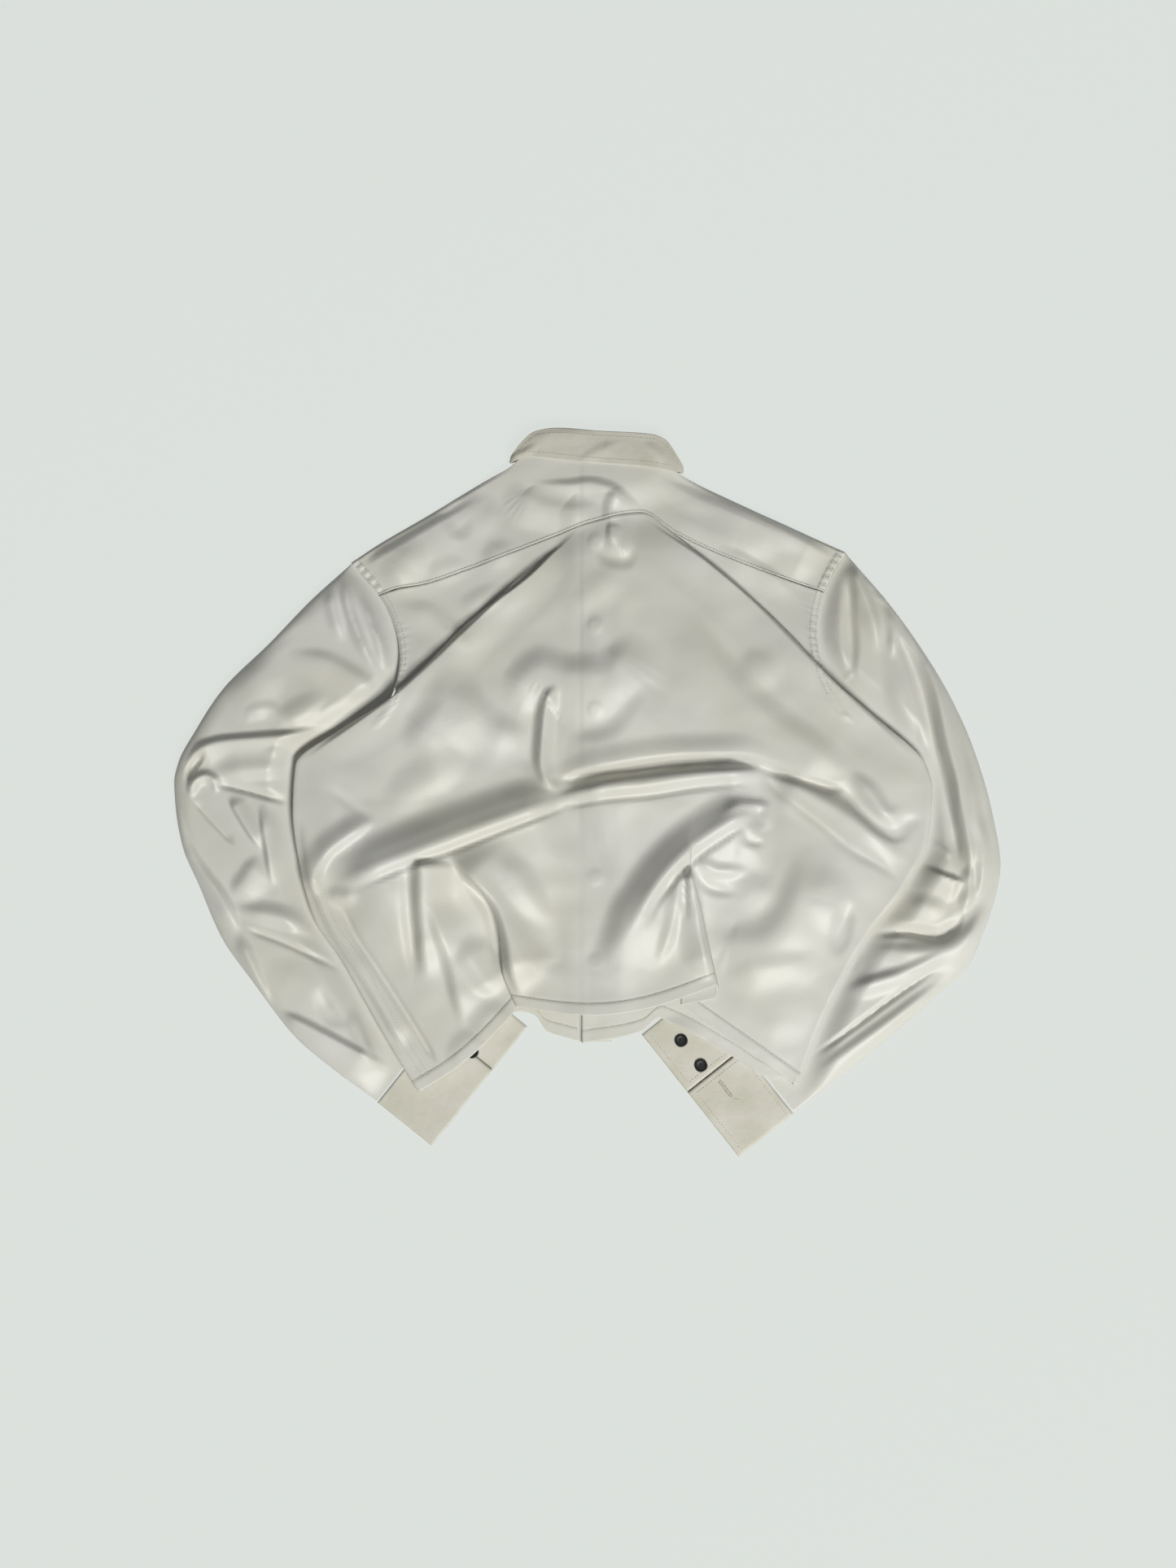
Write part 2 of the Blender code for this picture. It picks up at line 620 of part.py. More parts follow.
def back_sections(rows, fine):
    # Every section of the back from the yoke seam to the hem, as x, y and level
    down = np.linspace(0.0, 1.0, rows)
    left, right = curve(LEFT_FOLD, down), curve(RIGHT_FOLD, down)
    left_lap, right_lap = curve(LEFT_LAP, down), curve(RIGHT_LAP, down)
    gain = ease(0.0, 0.07, down)
    lap_gain = ease(LAP_START, LAP_FULL, down)
    hem = ease(0.82, 1.0, down)
    under = UNDER_LEVEL + 0.0 * down
    main = UNDER_LEVEL + 2 * BACK_LAYER * gain
    centre = main + 2 * BACK_LAYER * lap_gain

    def placed(places, base, rise):
        return [np.column_stack([x, y, base + rise * z]) for x, y, z in places]

    left_step = placed(step_under(left, TUCK, 1.0, 0.0, gain), under, BACK_LAYER * gain)
    right_step = placed(step_under(right, TUCK, -1.0, 0.0, gain), under, BACK_LAYER * gain)
    left_lap_step = placed(
        step_under(left_lap, TUCK, 1.0, 0.0, lap_gain), main, BACK_LAYER * lap_gain
    )
    right_lap_step = placed(
        step_under(right_lap, curve(LAP_TUCK, down)[:, 0], -1.0, -LAP_HEM_DROP * hem, lap_gain),
        main,
        BACK_LAYER * lap_gain,
    )
    left_seam = (LEFT_ARMHOLE, LEFT_SEAM_AT, LEFT_CROSS_AT, LEFT_CROSS_DOWN)
    right_seam = (RIGHT_ARMHOLE, RIGHT_SEAM_AT, RIGHT_CROSS_AT, RIGHT_CROSS_DOWN)
    left_end = side_end(left_seam, left, left_step[0], down, 1.0, under)
    right_end = side_end(right_seam, right, right_step[0], down, -1.0, under)
    bow = np.zeros((rows, 3))
    bow[:, 1] = -HEM_BOW * down**8
    stations = [left_end, *between(left_end, left_step[0], fine), *left_step]
    left_part = between(left_step[-1], left_lap_step[0], 3 * fine)
    side_bow = bow * LEFT_HEM_BOW / HEM_BOW
    stations += [
        place + side_bow * math.sin(math.pi * (k + 1) / (len(left_part) + 1))
        for k, place in enumerate(left_part)
    ]
    stations += left_lap_step
    middle = between(left_lap_step[-1], right_lap_step[-1], 4 * fine)
    count = len(middle) + 1
    stations += [
        place + bow * math.sin(math.pi * (k + 1) / count) for k, place in enumerate(middle)
    ]
    stations += right_lap_step[::-1]
    stations += between(right_lap_step[0], right_step[-1], 3 * fine) + right_step[::-1]
    stations += [*between(right_step[0], right_end, fine), right_end]
    sections = np.stack(stations, axis=1)
    across = np.linspace(0.0, 1.0, 300)
    seam = curve(YOKE_SEAM, across)
    target = np.interp(sections[0, :, 0], seam[:, 0], seam[:, 1])
    shift = target - sections[0, :, 1]
    sections[..., 1] += shift[None] * ease(0.1, 0.0, down)[:, None]
    return sections


def side_end(armhole_seam, fold, valley, down, facing, level):
    # The outer end of the under layer: the armhole, then just inside the fold edge
    points, start, end, cross = armhole_seam
    seam = beside_armhole(points, start + (end - start) * np.clip(down / cross, 0, 1), ARMHOLE_GAP)
    tucked = np.column_stack([fold[:, 0] + facing * 0.8, fold[:, 1]])
    share = ease(cross - 0.008, cross + 0.008, down)[:, None]
    place = seam * (1 - share) + tucked * share
    limit = valley[:, 0] - facing * 1.0
    place[:, 0] = np.minimum(place[:, 0] * facing, limit * facing) * facing
    return np.column_stack([place, level])


def sheet_faces(middle, thick, around=False):
    # The upper and lower faces of a wall from the points of its middle
    if around:
        padded = np.concatenate([middle[:, -2:-1], middle, middle[:, 1:2]], axis=1)
        across = np.gradient(padded, axis=1)[:, 1:-1]
    else:
        across = np.gradient(middle, axis=1)
    normal = np.cross(across, np.gradient(middle, axis=0))
    normal /= np.linalg.norm(normal, axis=2, keepdims=True) + 1e-12
    return middle + normal * thick / 2, middle - normal * thick / 2


def lifted(points, lift):
    out = points.copy()
    out[..., 2] += lift(points[..., 0], points[..., 1])
    return out


def wall(name, upper, lower, colour, around=False):
    # One closed piece of cloth from its upper and lower faces
    rows, columns = upper.shape[:2]
    bm = bmesh.new()
    bmesh.ops.create_grid(bm, x_segments=columns - 1, y_segments=rows - 1, size=1.0)
    place = bm.verts.layers.int.new("place")
    for vert in bm.verts:
        column = round((vert.co.x + 1) / 2 * (columns - 1))
        row = round((vert.co.y + 1) / 2 * (rows - 1))
        vert[place] = row * columns + column
        vert.co = upper[row, column]
    if around:
        bmesh.ops.remove_doubles(bm, verts=bm.verts[:], dist=MM)
    first = set(bm.verts)
    bmesh.ops.extrude_face_region(bm, geom=bm.faces[:], use_keep_orig=True)
    for vert in bm.verts:
        row, column = divmod(vert[place], columns)
        if vert in first:
            vert.co = lower[row, column]
    bmesh.ops.recalc_face_normals(bm, faces=bm.faces[:])
    return finished(name, bm, colour, KEPT.get(name))


def finished(name, bm, colour, kept=None):
    # Turns a mesh in millimetres into a named object with its own material
    bmesh.ops.triangulate(bm, faces=bm.faces[:])
    bmesh.ops.translate(bm, vec=(-MIDDLE_X, -MIDDLE_Y, 0.0), verts=bm.verts[:])
    bmesh.ops.scale(bm, vec=(MM, MM, MM), verts=bm.verts[:])
    volume = bm.calc_volume(signed=True)
    if volume < 0:
        bmesh.ops.reverse_faces(bm, faces=bm.faces[:])
    mesh = bpy.data.meshes.new(name)
    bm.to_mesh(mesh)
    count = len(bm.faces)
    bm.free()
    part = bpy.data.objects.new(name, mesh)
    bpy.context.scene.collection.objects.link(part)
    if kept and kept < count:
        thin = part.modifiers.new("thin", "DECIMATE")
        thin.ratio = kept / count
        thin.use_collapse_triangulate = True
    material = bpy.data.materials.new(name)
    material.use_nodes = True
    shader = material.node_tree.nodes["Principled BSDF"]
    shader.inputs["Base Color"].default_value = (*colour, 1.0)
    shader.inputs["Roughness"].default_value = 0.45
    mesh.materials.append(material)
    for face in mesh.polygons:
        face.use_smooth = True
    return part


def make_back():
    upper, lower = sheet_faces(back_sections(110, 6), BACK_CLOTH)
    return wall("back", lifted(upper, back_lift), lifted(lower, back_lift), SATIN)


def make_yoke():
    across, down = np.linspace(0.0, 1.0, 110), np.linspace(0.0, 1.0, 22)
    top, seam = curve(YOKE_TOP, across), curve(YOKE_SEAM, across)
    toward = seam - top
    length = np.linalg.norm(toward, axis=1, keepdims=True)
    seam = seam - toward / length * SEAM_GAP
    plan = top[None] + (seam - top)[None] * down[:, None, None]
    for points, at, end in (
        (LEFT_ARMHOLE, LEFT_SEAM_AT, 0),
        (RIGHT_ARMHOLE, RIGHT_SEAM_AT, -1),
    ):
        wanted = beside_armhole(points, down * at * YOKE_SHORT, ARMHOLE_GAP)
        fade = ease(0.16, 0.0, np.abs(across - across[end]))
        plan = plan + (wanted - plan[:, end])[:, None] * fade[None, :, None]
    drop = (UNDER_LEVEL - FRONT_LEVEL) * ease(0.05, 0.0, down)[:, None]
    shoulder = 1 - ease(SHOULDER_FAR, SHOULDER_NEAR, np.abs(plan[..., 0] - NECK_X))
    level = UNDER_LEVEL - drop * shoulder
    middle = np.concatenate([plan, level[..., None]], axis=2)
    upper, lower = sheet_faces(middle[::-1], BACK_CLOTH)
    return wall("yoke", lifted(upper, back_lift), lifted(lower, back_lift), SATIN)


def front_lift(peak, foot):
    return lambda x, y: np.maximum(
        body_lift(x, y) + button_lift(x, y), centre_lift(x, peak, foot)
    )


def front_outer(points, fold, corner):
    # Outer edge of a front: down the armhole, then down the side inside the fold edge
    shares = np.linspace(FRONT_SHOULDER, FRONT_UNDERARM, FRONT_ARMHOLE_ROWS)
    gap = ARMHOLE_GAP + UNDERARM_SLACK * ease(0.5, 0.8, shares)[:, None]
    rows = list(beside_armhole(points, shares, gap))
    side = curve(fold, np.linspace(0.47, 0.97, FRONT_SIDE_ROWS))
    side[:, 0] += math.copysign(FRONT_SIDE_INSET, -points[0][0])
    rows += [*side, np.array(corner)]
    rows = np.array(rows)
    length = np.concatenate([[0.0], np.cumsum(np.linalg.norm(np.diff(rows, axis=0), axis=1))])
    return np.column_stack([length / length[-1], rows])


def make_front(name, outer, inner, hem, lift, mirrored):
    across, down = np.linspace(0.0, 1.0, 52), np.linspace(0.0, 1.0, 84)
    start, end = curve(outer, down)[:, None], curve(inner, down)[:, None]
    plan = start + (end - start) * across[None, :, None]
    drop = curve(hem, across)[:, 0]
    plan[..., 1] += drop[None] * ease(0.55, 1.0, down)[:, None]
    middle = np.concatenate([plan, np.full(plan.shape[:2] + (1,), FRONT_LEVEL)], axis=2)
    upper, lower = sheet_faces(middle if mirrored else middle[::-1], CLOTH)
    return wall(name, lifted(upper, lift), lifted(lower, lift), SATIN)


def make_placket():
    # The strip on the left front that covers the buttons' side
    across = np.linspace(PLACKET_LEFT, PLACKET_RIGHT, 7)
    down = np.linspace(PLACKET_FOOT, PLACKET_TOP, 40)
    x, y = np.meshgrid(across, down)
    middle = np.stack([x, y, 0 * x + FRONT_LEVEL + PLACKET_LIFT], axis=2)
    upper, lower = sheet_faces(middle, CLOTH)
    return wall("placket", upper, lower, SATIN)


def sleeve_sections(outer, middle, inner, rows, across, gap):
    # Flat tube: over the top from the outer edge, round, and back underneath
    down = np.linspace(0.0, 1.0, rows)
    edges = [curve(table, down) for table in (outer, middle, inner)]
    level_top = SLEEVE_SHUT + (SLEEVE_OPEN - SLEEVE_SHUT) * ease(0.0, 0.12, down)
    half = (level_top - SLEEVE_LOW) / 2
    centre = (level_top + SLEEVE_LOW) / 2
    width = np.linalg.norm(edges[2] - edges[1], axis=1) + np.linalg.norm(
        edges[1] - edges[0], axis=1
    )
    inset = (half + CLOTH / 2) / width
    ring = [(share, 1.0, 0.0) for share in np.linspace(0.0, 1.0, across)]
    ring += [(1.0, math.cos(a), math.sin(a)) for a in np.radians((45, 90, 135))]
    ring += [(share, -1.0, 0.0) for share in np.linspace(1.0, 0.0, across)]
    ring += [(0.0, -math.cos(a), -math.sin(a)) for a in np.radians((45, 90, 135))]
    ring.append(ring[0])
    places = []
    for share, lift, out in ring:
        t = inset + share * (1 - 2 * inset) + out * half / width
        weights = ((t - 0.5) * (t - 1) * 2, -4 * t * (t - 1), 2 * t * (t - 0.5))
        plan = sum(w[:, None] * edge for w, edge in zip(weights, edges))
        places.append(np.column_stack([plan, centre + lift * half]))
    sections = np.stack(places, axis=1)
    ends = sections[1] - sections[0]
    length = np.linalg.norm(ends[:, :2], axis=1, keepdims=True)
    slide = (1 - down)[:, None, None] ** 20 * (ends[:, :2] / length)[None] * gap
    sections[..., :2] += slide
    return sections


def sleeve_lift(outer, side):
    # How far the top of a sleeve stands off its underside at each place
    levels = np.linspace(0.0, 1.0, 40)
    rim = curve(outer, levels)
    body = curve(LEFT_FOLD if side > 0 else RIGHT_FOLD, np.linspace(0.22, 1.0, 30))
    seam = armhole(LEFT_ARMHOLE if side > 0 else RIGHT_ARMHOLE, np.linspace(0.0, 1.0, 16))

    def lift(x, y):
        edge, along = to_line(x, y, rim)
        edge = np.clip(edge * side, 0.0, None)
        to_body, _ = to_line(x, y, body)
        to_seam, _ = to_line(x, y, seam)
        clear = ease(3.0, SLEEVE_HOLLOW, -to_body * side)
        clear = clear * ease(2.0, SEAM_HOLLOW, np.abs(to_seam)) * ease(0.0, 0.05, 1.0 - along)
        rounded = np.sqrt(1 - (1 - np.clip(edge / SLEEVE_ROUND, 0.0, 1.0)) ** 2)
        rise = SLEEVE_PUFF + 0.0 * x
        for fold in SLEEVE_FOLDS:
            rise = rise + fold_rise(x, y, fold)
        return clear * rounded * rise

    return lift


def make_sleeve(name, outer, middle, inner, side):
    sections = sleeve_sections(outer, middle, inner, 100, 44, SEAM_GAP)
    if side < 0:
        sections = sections[:, ::-1]
    outside, inside = sheet_faces(sections, CLOTH, around=True)
    lift = sleeve_lift(outer, side)

    def raised(points):
        out = points.copy()
        share = ease(SLEEVE_LOW + 0.3, SLEEVE_OPEN - 0.3, sections[..., 2])
        out[..., 2] += share * lift(points[..., 0], points[..., 1])
        return out

    return wall(name, raised(outside), raised(inside), SATIN, around=True)


def cuff_corner(cuff, name):
    # The corner at the wrist below a named corner at the seam
    outer, inner = np.array(cuff["outer"]), np.array(cuff["inner"])
    along = (inner - outer) / np.linalg.norm(inner - outer)
    down = np.array((along[1], -along[0])) * math.copysign(1.0, -outer[0])
    down = down if down[1] < 0 else -down
    return np.array(cuff[name]) + down * CUFF_HEIGHT


def cuff_frame(cuff):
    outer, inner = np.array(cuff["outer"]), np.array(cuff["inner"])
    return outer, inner - outer, cuff_corner(cuff, "outer") - outer


def cuff_button_places(cuff):
    outer, along, down = cuff_frame(cuff)
    wrist = outer + along + down * (1 - CUFF_BUTTON_UP / CUFF_HEIGHT)
    length = np.linalg.norm(along)
    return [wrist - along / length * inward for inward in cuff["buttons"]]


def make_cuff(name, cuff):
    # A band bent round flat, open at the slit on the upper side
    outer, along, down = cuff_frame(cuff)
    width = np.linalg.norm(along)
    top, low = CUFF_TOP, SLEEVE_LOW
    half, centre = (top - low) / 2, (top + low) / 2
    inset = (half + CLOTH / 2) / width
    slit, gap = cuff["slit"], CUFF_SLIT_GAP / width
    ring = [(share, 1.0, 0.0) for share in np.linspace(slit + gap / 2, 1 - inset, 6)]
    ring += [(1 - inset, math.cos(a), math.sin(a)) for a in np.radians((36, 72, 108, 144))]
    ring += [(share, -1.0, 0.0) for share in np.linspace(1 - inset, inset, 9)]
    ring += [(inset, -math.cos(a), -math.sin(a)) for a in np.radians((36, 72, 108, 144))]
    ring += [(share, 1.0, 0.0) for share in np.linspace(inset, slit - gap / 2, 9)]
    rows = np.linspace(SEAM_GAP / CUFF_HEIGHT, 1.0, 7)
    places = []
    for share, lift, out in ring:
        plan = outer + along * (share + out * half / width) + rows[:, None] * down
        places.append(np.column_stack([plan, np.full(len(rows), centre + lift * half)]))
    middle = np.stack(places, axis=1)
    upper, lower = sheet_faces(middle, CLOTH)
    return wall(name, upper, lower, FACED)


def make_button(name, x, y, low, colour=BLACK):
    # A round button with a raised rim
    bm = bmesh.new()
    bmesh.ops.create_circle(bm, cap_ends=True, radius=BUTTON_RADIUS, segments=BUTTON_SIDES)
    grown = bmesh.ops.extrude_face_region(bm, geom=bm.faces[:], use_keep_orig=True)
    tops = [item for item in grown["geom"] if isinstance(item, bmesh.types.BMVert)]
    bmesh.ops.translate(bm, vec=(0, 0, BUTTON_HEIGHT), verts=tops)
    bmesh.ops.recalc_face_normals(bm, faces=bm.faces[:])
    lid = max(bm.faces, key=lambda face: face.calc_center_median().z)
    bmesh.ops.inset_region(bm, faces=[lid], thickness=BUTTON_RIM_WIDTH, depth=-BUTTON_RIM)
    bmesh.ops.translate(bm, vec=(x, y, low), verts=bm.verts[:])
    return finished(name, bm, colour)


def ring_path(across):
    # Path round a flattened collar as share of its width and of its height,
    # open at the centre underneath
    turn = np.radians((30, 60, 90, 120, 150))
    path = [(share, 0.0) for share in np.linspace(COLLAR_OPEN[0], COLLAR_END, across)]
    path += [(COLLAR_END * (1 - math.sin(a)), 0.5 - 0.5 * math.cos(a)) for a in turn]
    path += [(share, 1.0) for share in np.linspace(COLLAR_END, 1 - COLLAR_END, 2 * across)]
    path += [(1 - COLLAR_END * (1 - math.sin(a)), 0.5 + 0.5 * math.cos(a)) for a in turn]
    path += [(share, 0.0) for share in np.linspace(1 - COLLAR_END, COLLAR_OPEN[1], across)]
    return path


def make_collar(name, inset, foot_in, head_in):
    # A band round the neck, pressed flat; inset sets it inside the piece around it
    rows = np.linspace(0.0, 1.0, 9)
    low = CLOTH / 2 + inset
    places = []
    for share, up in ring_path(20):
        foot, head = curve(COLLAR_LOW, share), curve(COLLAR_TOP, share)
        length = np.linalg.norm(head - foot)
        first = min(foot_in / length, 0.3)
        last = 1 - min(head_in / length, 0.1)
        level = first + (last - first) * rows
        plan = foot + (head - foot) * level[:, None]
        shut = 1 - (1 - COLLAR_SHUT) * ease(0.3, 1.0, level)
        high = CLOTH / 2 + COLLAR_RISE * shut - inset
        plan[:, 0] += inset * (1 - 2 * share)
        places.append(np.column_stack([plan, low + (high - low) * up]))
    middle = np.stack(places, axis=1)
    upper, lower = sheet_faces(middle, CLOTH)
    return wall(name, upper, lower, FACED)


def main():
    for old in list(bpy.data.objects):
        bpy.data.objects.remove(old, do_unlink=True)
    make_back()
    make_yoke()
    make_front(
        "front_left",
        front_outer(LEFT_ARMHOLE, LEFT_FOLD, LEFT_FRONT_CORNER),
        FRONT_LEFT_INNER,
        LEFT_FRONT_HEM,
        front_lift(PLACKET_LIFT, PLACKET_LEFT - 1.0),
        False,
    )
    make_front(
        "front_right",
        front_outer(RIGHT_ARMHOLE, RIGHT_FOLD, RIGHT_FRONT_CORNER),
        FRONT_RIGHT_INNER,
        RIGHT_FRONT_HEM,
        front_lift(OVERLAP_LIFT, OVERLAP_EDGE - 1.0),
        True,
    )
    make_placket()
    make_collar("collar_leaf", 0.0, 0.0, 0.0)
    make_collar("collar_stand", STAND_INSET, STAND_FOOT, STAND_HEAD)
    make_sleeve(
        "sleeve_left", LEFT_SLEEVE_OUTER, LEFT_SLEEVE_MIDDLE, LEFT_SLEEVE_INNER, 1.0
    )
    make_sleeve(
        "sleeve_right", RIGHT_SLEEVE_OUTER, RIGHT_SLEEVE_MIDDLE, RIGHT_SLEEVE_INNER, -1.0
    )
    make_cuff("cuff_left", LEFT_CUFF)
    make_cuff("cuff_right", RIGHT_CUFF)
    top = CUFF_TOP + CLOTH / 2 + THREAD
    for side, cuff in (("left", LEFT_CUFF), ("right", RIGHT_CUFF)):
        for number, place in enumerate(cuff_button_places(cuff), 1):
            make_button(f"cuff_button_{side}_{number}", place[0], place[1], top)
    for number in range(FRONT_BUTTONS):
        y = FRONT_BUTTON_TOP_Y - number * FRONT_BUTTON_STEP
        make_button(f"front_button_{number + 1}", FRONT_BUTTON_X, y, 0.0)


main()
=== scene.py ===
import math

import bmesh
import bpy
import numpy as np
from mathutils import Matrix, Vector


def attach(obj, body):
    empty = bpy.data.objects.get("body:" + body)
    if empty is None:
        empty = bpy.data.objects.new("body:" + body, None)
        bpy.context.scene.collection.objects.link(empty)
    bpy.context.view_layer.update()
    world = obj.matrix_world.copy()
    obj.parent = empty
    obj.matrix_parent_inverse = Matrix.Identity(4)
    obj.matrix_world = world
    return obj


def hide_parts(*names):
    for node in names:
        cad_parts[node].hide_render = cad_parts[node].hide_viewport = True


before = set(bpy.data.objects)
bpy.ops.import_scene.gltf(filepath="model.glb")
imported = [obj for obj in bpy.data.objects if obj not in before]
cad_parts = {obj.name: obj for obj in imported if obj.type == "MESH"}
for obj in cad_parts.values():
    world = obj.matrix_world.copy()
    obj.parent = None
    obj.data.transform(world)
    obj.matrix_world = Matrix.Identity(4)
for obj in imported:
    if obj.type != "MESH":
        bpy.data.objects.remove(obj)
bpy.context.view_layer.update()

MM = 0.001
# The middle of the shirt's outline, which becomes the origin
MIDDLE_X, MIDDLE_Y = 0.55, 0.4

# Cloth: its thickness, the air between two layers, the gap at a seam, and the distance
# from the middle of one layer to that of the next
CLOTH = 1.5
BACK_CLOTH = 1.7
LAYER_GAP = 0.45
SEAM_GAP = 0.95
LAYER = CLOTH + LAYER_GAP
BACK_LAYER = BACK_CLOTH + LAYER_GAP

# Heights of the middle of each layer, with everything pressed flat. A sleeve is nearly
# shut at its head and opens a little below it, and the cuff is stiffer still
FRONT_LEVEL = CLOTH / 2
UNDER_LEVEL = CLOTH + LAYER_GAP + BACK_CLOTH / 2
SLEEVE_LOW = CLOTH / 2
SLEEVE_SHUT = SLEEVE_LOW + CLOTH + 0.5
SLEEVE_OPEN = SLEEVE_LOW + CLOTH + 1.1
CUFF_TOP = SLEEVE_OPEN + 0.2
REST_ON_SLEEVE = SLEEVE_OPEN + CLOTH / 2 + LAYER_GAP

# Buttons
BUTTON_RADIUS = 6.0
BUTTON_HEIGHT = 2.0
BUTTON_RIM_ROUND = 0.45
# The dish in a button's top: width of the rim, then width and depth of its two steps
BUTTON_RIM_WIDE = 0.9
BUTTON_DISH = ((0.5, -0.55), (0.5, -0.1))
# Its four thread holes: distance from the middle, radius, and where each is closed below
HOLE_AWAY = 1.75
HOLE_RADIUS = 0.7
HOLE_FLOOR = 0.6
# Room above a cuff's button, and how far round it the cloth slopes down again
BUTTON_ROOM = 0.6
BUTTON_SPREAD = 26.0
FRONT_BUTTON_X = 8.0
FRONT_BUTTON_TOP_Y = 231.0
FRONT_BUTTON_STEP = 77.0
FRONT_BUTTONS = 6

# Gap under a cuff's button
THREAD = 0.35

# The band over the front buttons: its edges and how high it lies, and then how high the
# right front lies over it and where its edge is
PLACKET_LEFT = -7.0
PLACKET_RIGHT = 23.0
PLACKET_TOP = 288.0
PLACKET_FOOT = -228.5
PLACKET_LIFT = BUTTON_HEIGHT + 0.3
OVERLAP_LIFT = PLACKET_LIFT + LAYER
OVERLAP_EDGE = -4.5
# How much of that height the back still has below the yoke, and the y between which it
# changes to all of it
OVERLAP_SHOWS = 1.2
SHOWS_BELOW, SHOWS_ABOVE = 200.0, 238.0
# Length of the slope down beside the band, how far outside the left edge it begins under
# a front and under the back, and where it begins and ends on the right
RAMP = 20.0
FRONT_EASE, BACK_EASE = 1.0, 3.0
PLACKET_CLEAR = PLACKET_RIGHT + 6.0
PLACKET_RAMP_END = PLACKET_CLEAR + RAMP

# How far the cloth goes under at each fold edge of the back, the turn's depth, and
# how far inside it the steepest places of the turn lie
TUCK = 4.5
TURN = 1.6
TURN_STEEP = 0.3
# Where the same rows lie across a fold edge that hasn't begun yet
UNFOLDED = (-5.0, -3.5, -2.0, -0.8, 0.4, 1.6, 2.8, 4.0)
# Share of a fold's full depth at which its edge begins to turn under
FOLD_BEGINS = 0.45
# Share of the way down by which the side folds have their full depth
FOLD_FULL = 0.07
# Angles round half a turn, for the round edges of flattened tubes
HALF_TURN = np.radians((30, 60, 90, 120, 150))

# Each edge below has a row for each level: share of the way down, x, y

LEFT_FOLD = (
    (0.0, -7.5, 244.0),
    (0.1, -54.8, 197.2),
    (0.2, -108.8, 156.8),
    (0.3, -178.5, 87.8),
    (0.36, -226.0, 58.0),
    (0.42, -267.0, 26.2),
    (0.5, -269.5, -16.0),
    (0.6, -262.5, -69.0),
    (0.7, -250.0, -114.0),
    (0.8, -222.0, -157.0),
    (0.9, -189.0, -216.0),
    (1.0, -154.5, -273.0),
)
RIGHT_FOLD = (
    (0.0, 59.2, 253.0),
    (0.1, 120.0, 204.5),
    (0.2, 179.2, 153.0),
    (0.3, 231.0, 98.2),
    (0.36, 263.0, 71.0),
    (0.42, 309.0, 29.0),
    (0.5, 316.5, 4.0),
    (0.6, 313.0, -40.0),
    (0.7, 292.0, -84.0),
    (0.8, 254.0, -135.0),
    (0.9, 219.0, -200.0),
    (1.0, 193.0, -267.0),
)

# Armholes: top of the shoulder, middle and underarm, and the shares of them where
# the yoke seam meets them and where the fold edge crosses them
LEFT_ARMHOLE = ((-216.8, 211.5), (-173.8, 108.8), (-256.0, 8.0))
RIGHT_ARMHOLE = ((238.5, 221.0), (216.0, 118.0), (300.0, 10.0))
LEFT_SEAM_AT, LEFT_CROSS_AT, LEFT_CROSS_DOWN = 0.145, 0.56, 0.295
RIGHT_SEAM_AT, RIGHT_CROSS_AT, RIGHT_CROSS_DOWN = 0.18, 0.5, 0.262
# How far a panel and a sleeve stay off the armhole's line, the share of the yoke's end
# that follows it, and how far the hidden fronts keep clear of the underarm
ARMHOLE_GAP = 0.15
YOKE_SHORT = 0.975
UNDERARM_SLACK = 8.0
# Half the share of the way down over which the side leaves the armhole for the fold,
# and how far inside the fold edge it then stays
CROSS_SOFT = 0.008
SIDE_INSET = 0.8
# Share of the way down over which the back's rows bend from the yoke seam
TOP_BENDS = 0.1

LEFT_LAP = (
    (0.0, 10.0, 251.0),
    (0.1, -4.0, 200.0),
    (0.2, -25.0, 150.0),
    (0.3, -50.0, 95.0),
    (0.42, -85.0, 35.0),
    (0.5, -108.0, -8.0),
    (0.6, -126.0, -50.0),
    (0.7, -96.0, -90.0),
    (0.8, -80.0, -125.0),
    (0.9, -77.0, -162.0),
    (1.0, -64.5, -194.5),
)
RIGHT_LAP = (
    (0.0, 38.0, 257.5),
    (0.1, 62.0, 205.0),
    (0.2, 82.0, 155.0),
    (0.3, 95.0, 105.0),
    (0.42, 104.0, 55.0),
    (0.5, 106.0, 26.0),
    (0.6, 98.0, -20.0),
    (0.7, 95.0, -66.0),
    (0.8, 104.0, -102.0),
    (0.9, 112.0, -140.0),
    (1.0, 120.0, -175.0),
)

# Reach of the under layer of the right lap: share of the way down, reach
LAP_TUCK = (
    (0.0, 4.5),
    (0.7, 6.0),
    (0.85, 16.0),
    (1.0, 34.0),
)
# Where the laps begin and where they have their full depth
LAP_START = 0.58
LAP_FULL = 0.72
# Bow of the middle hem and of the left part's, how far the right lap's hangs lower, and
# the share of the way down from which it does
HEM_BOW = 17.0
LEFT_HEM_BOW = 8.0
LAP_HEM_DROP = 18.0
LAP_DROPS_FROM = 0.82

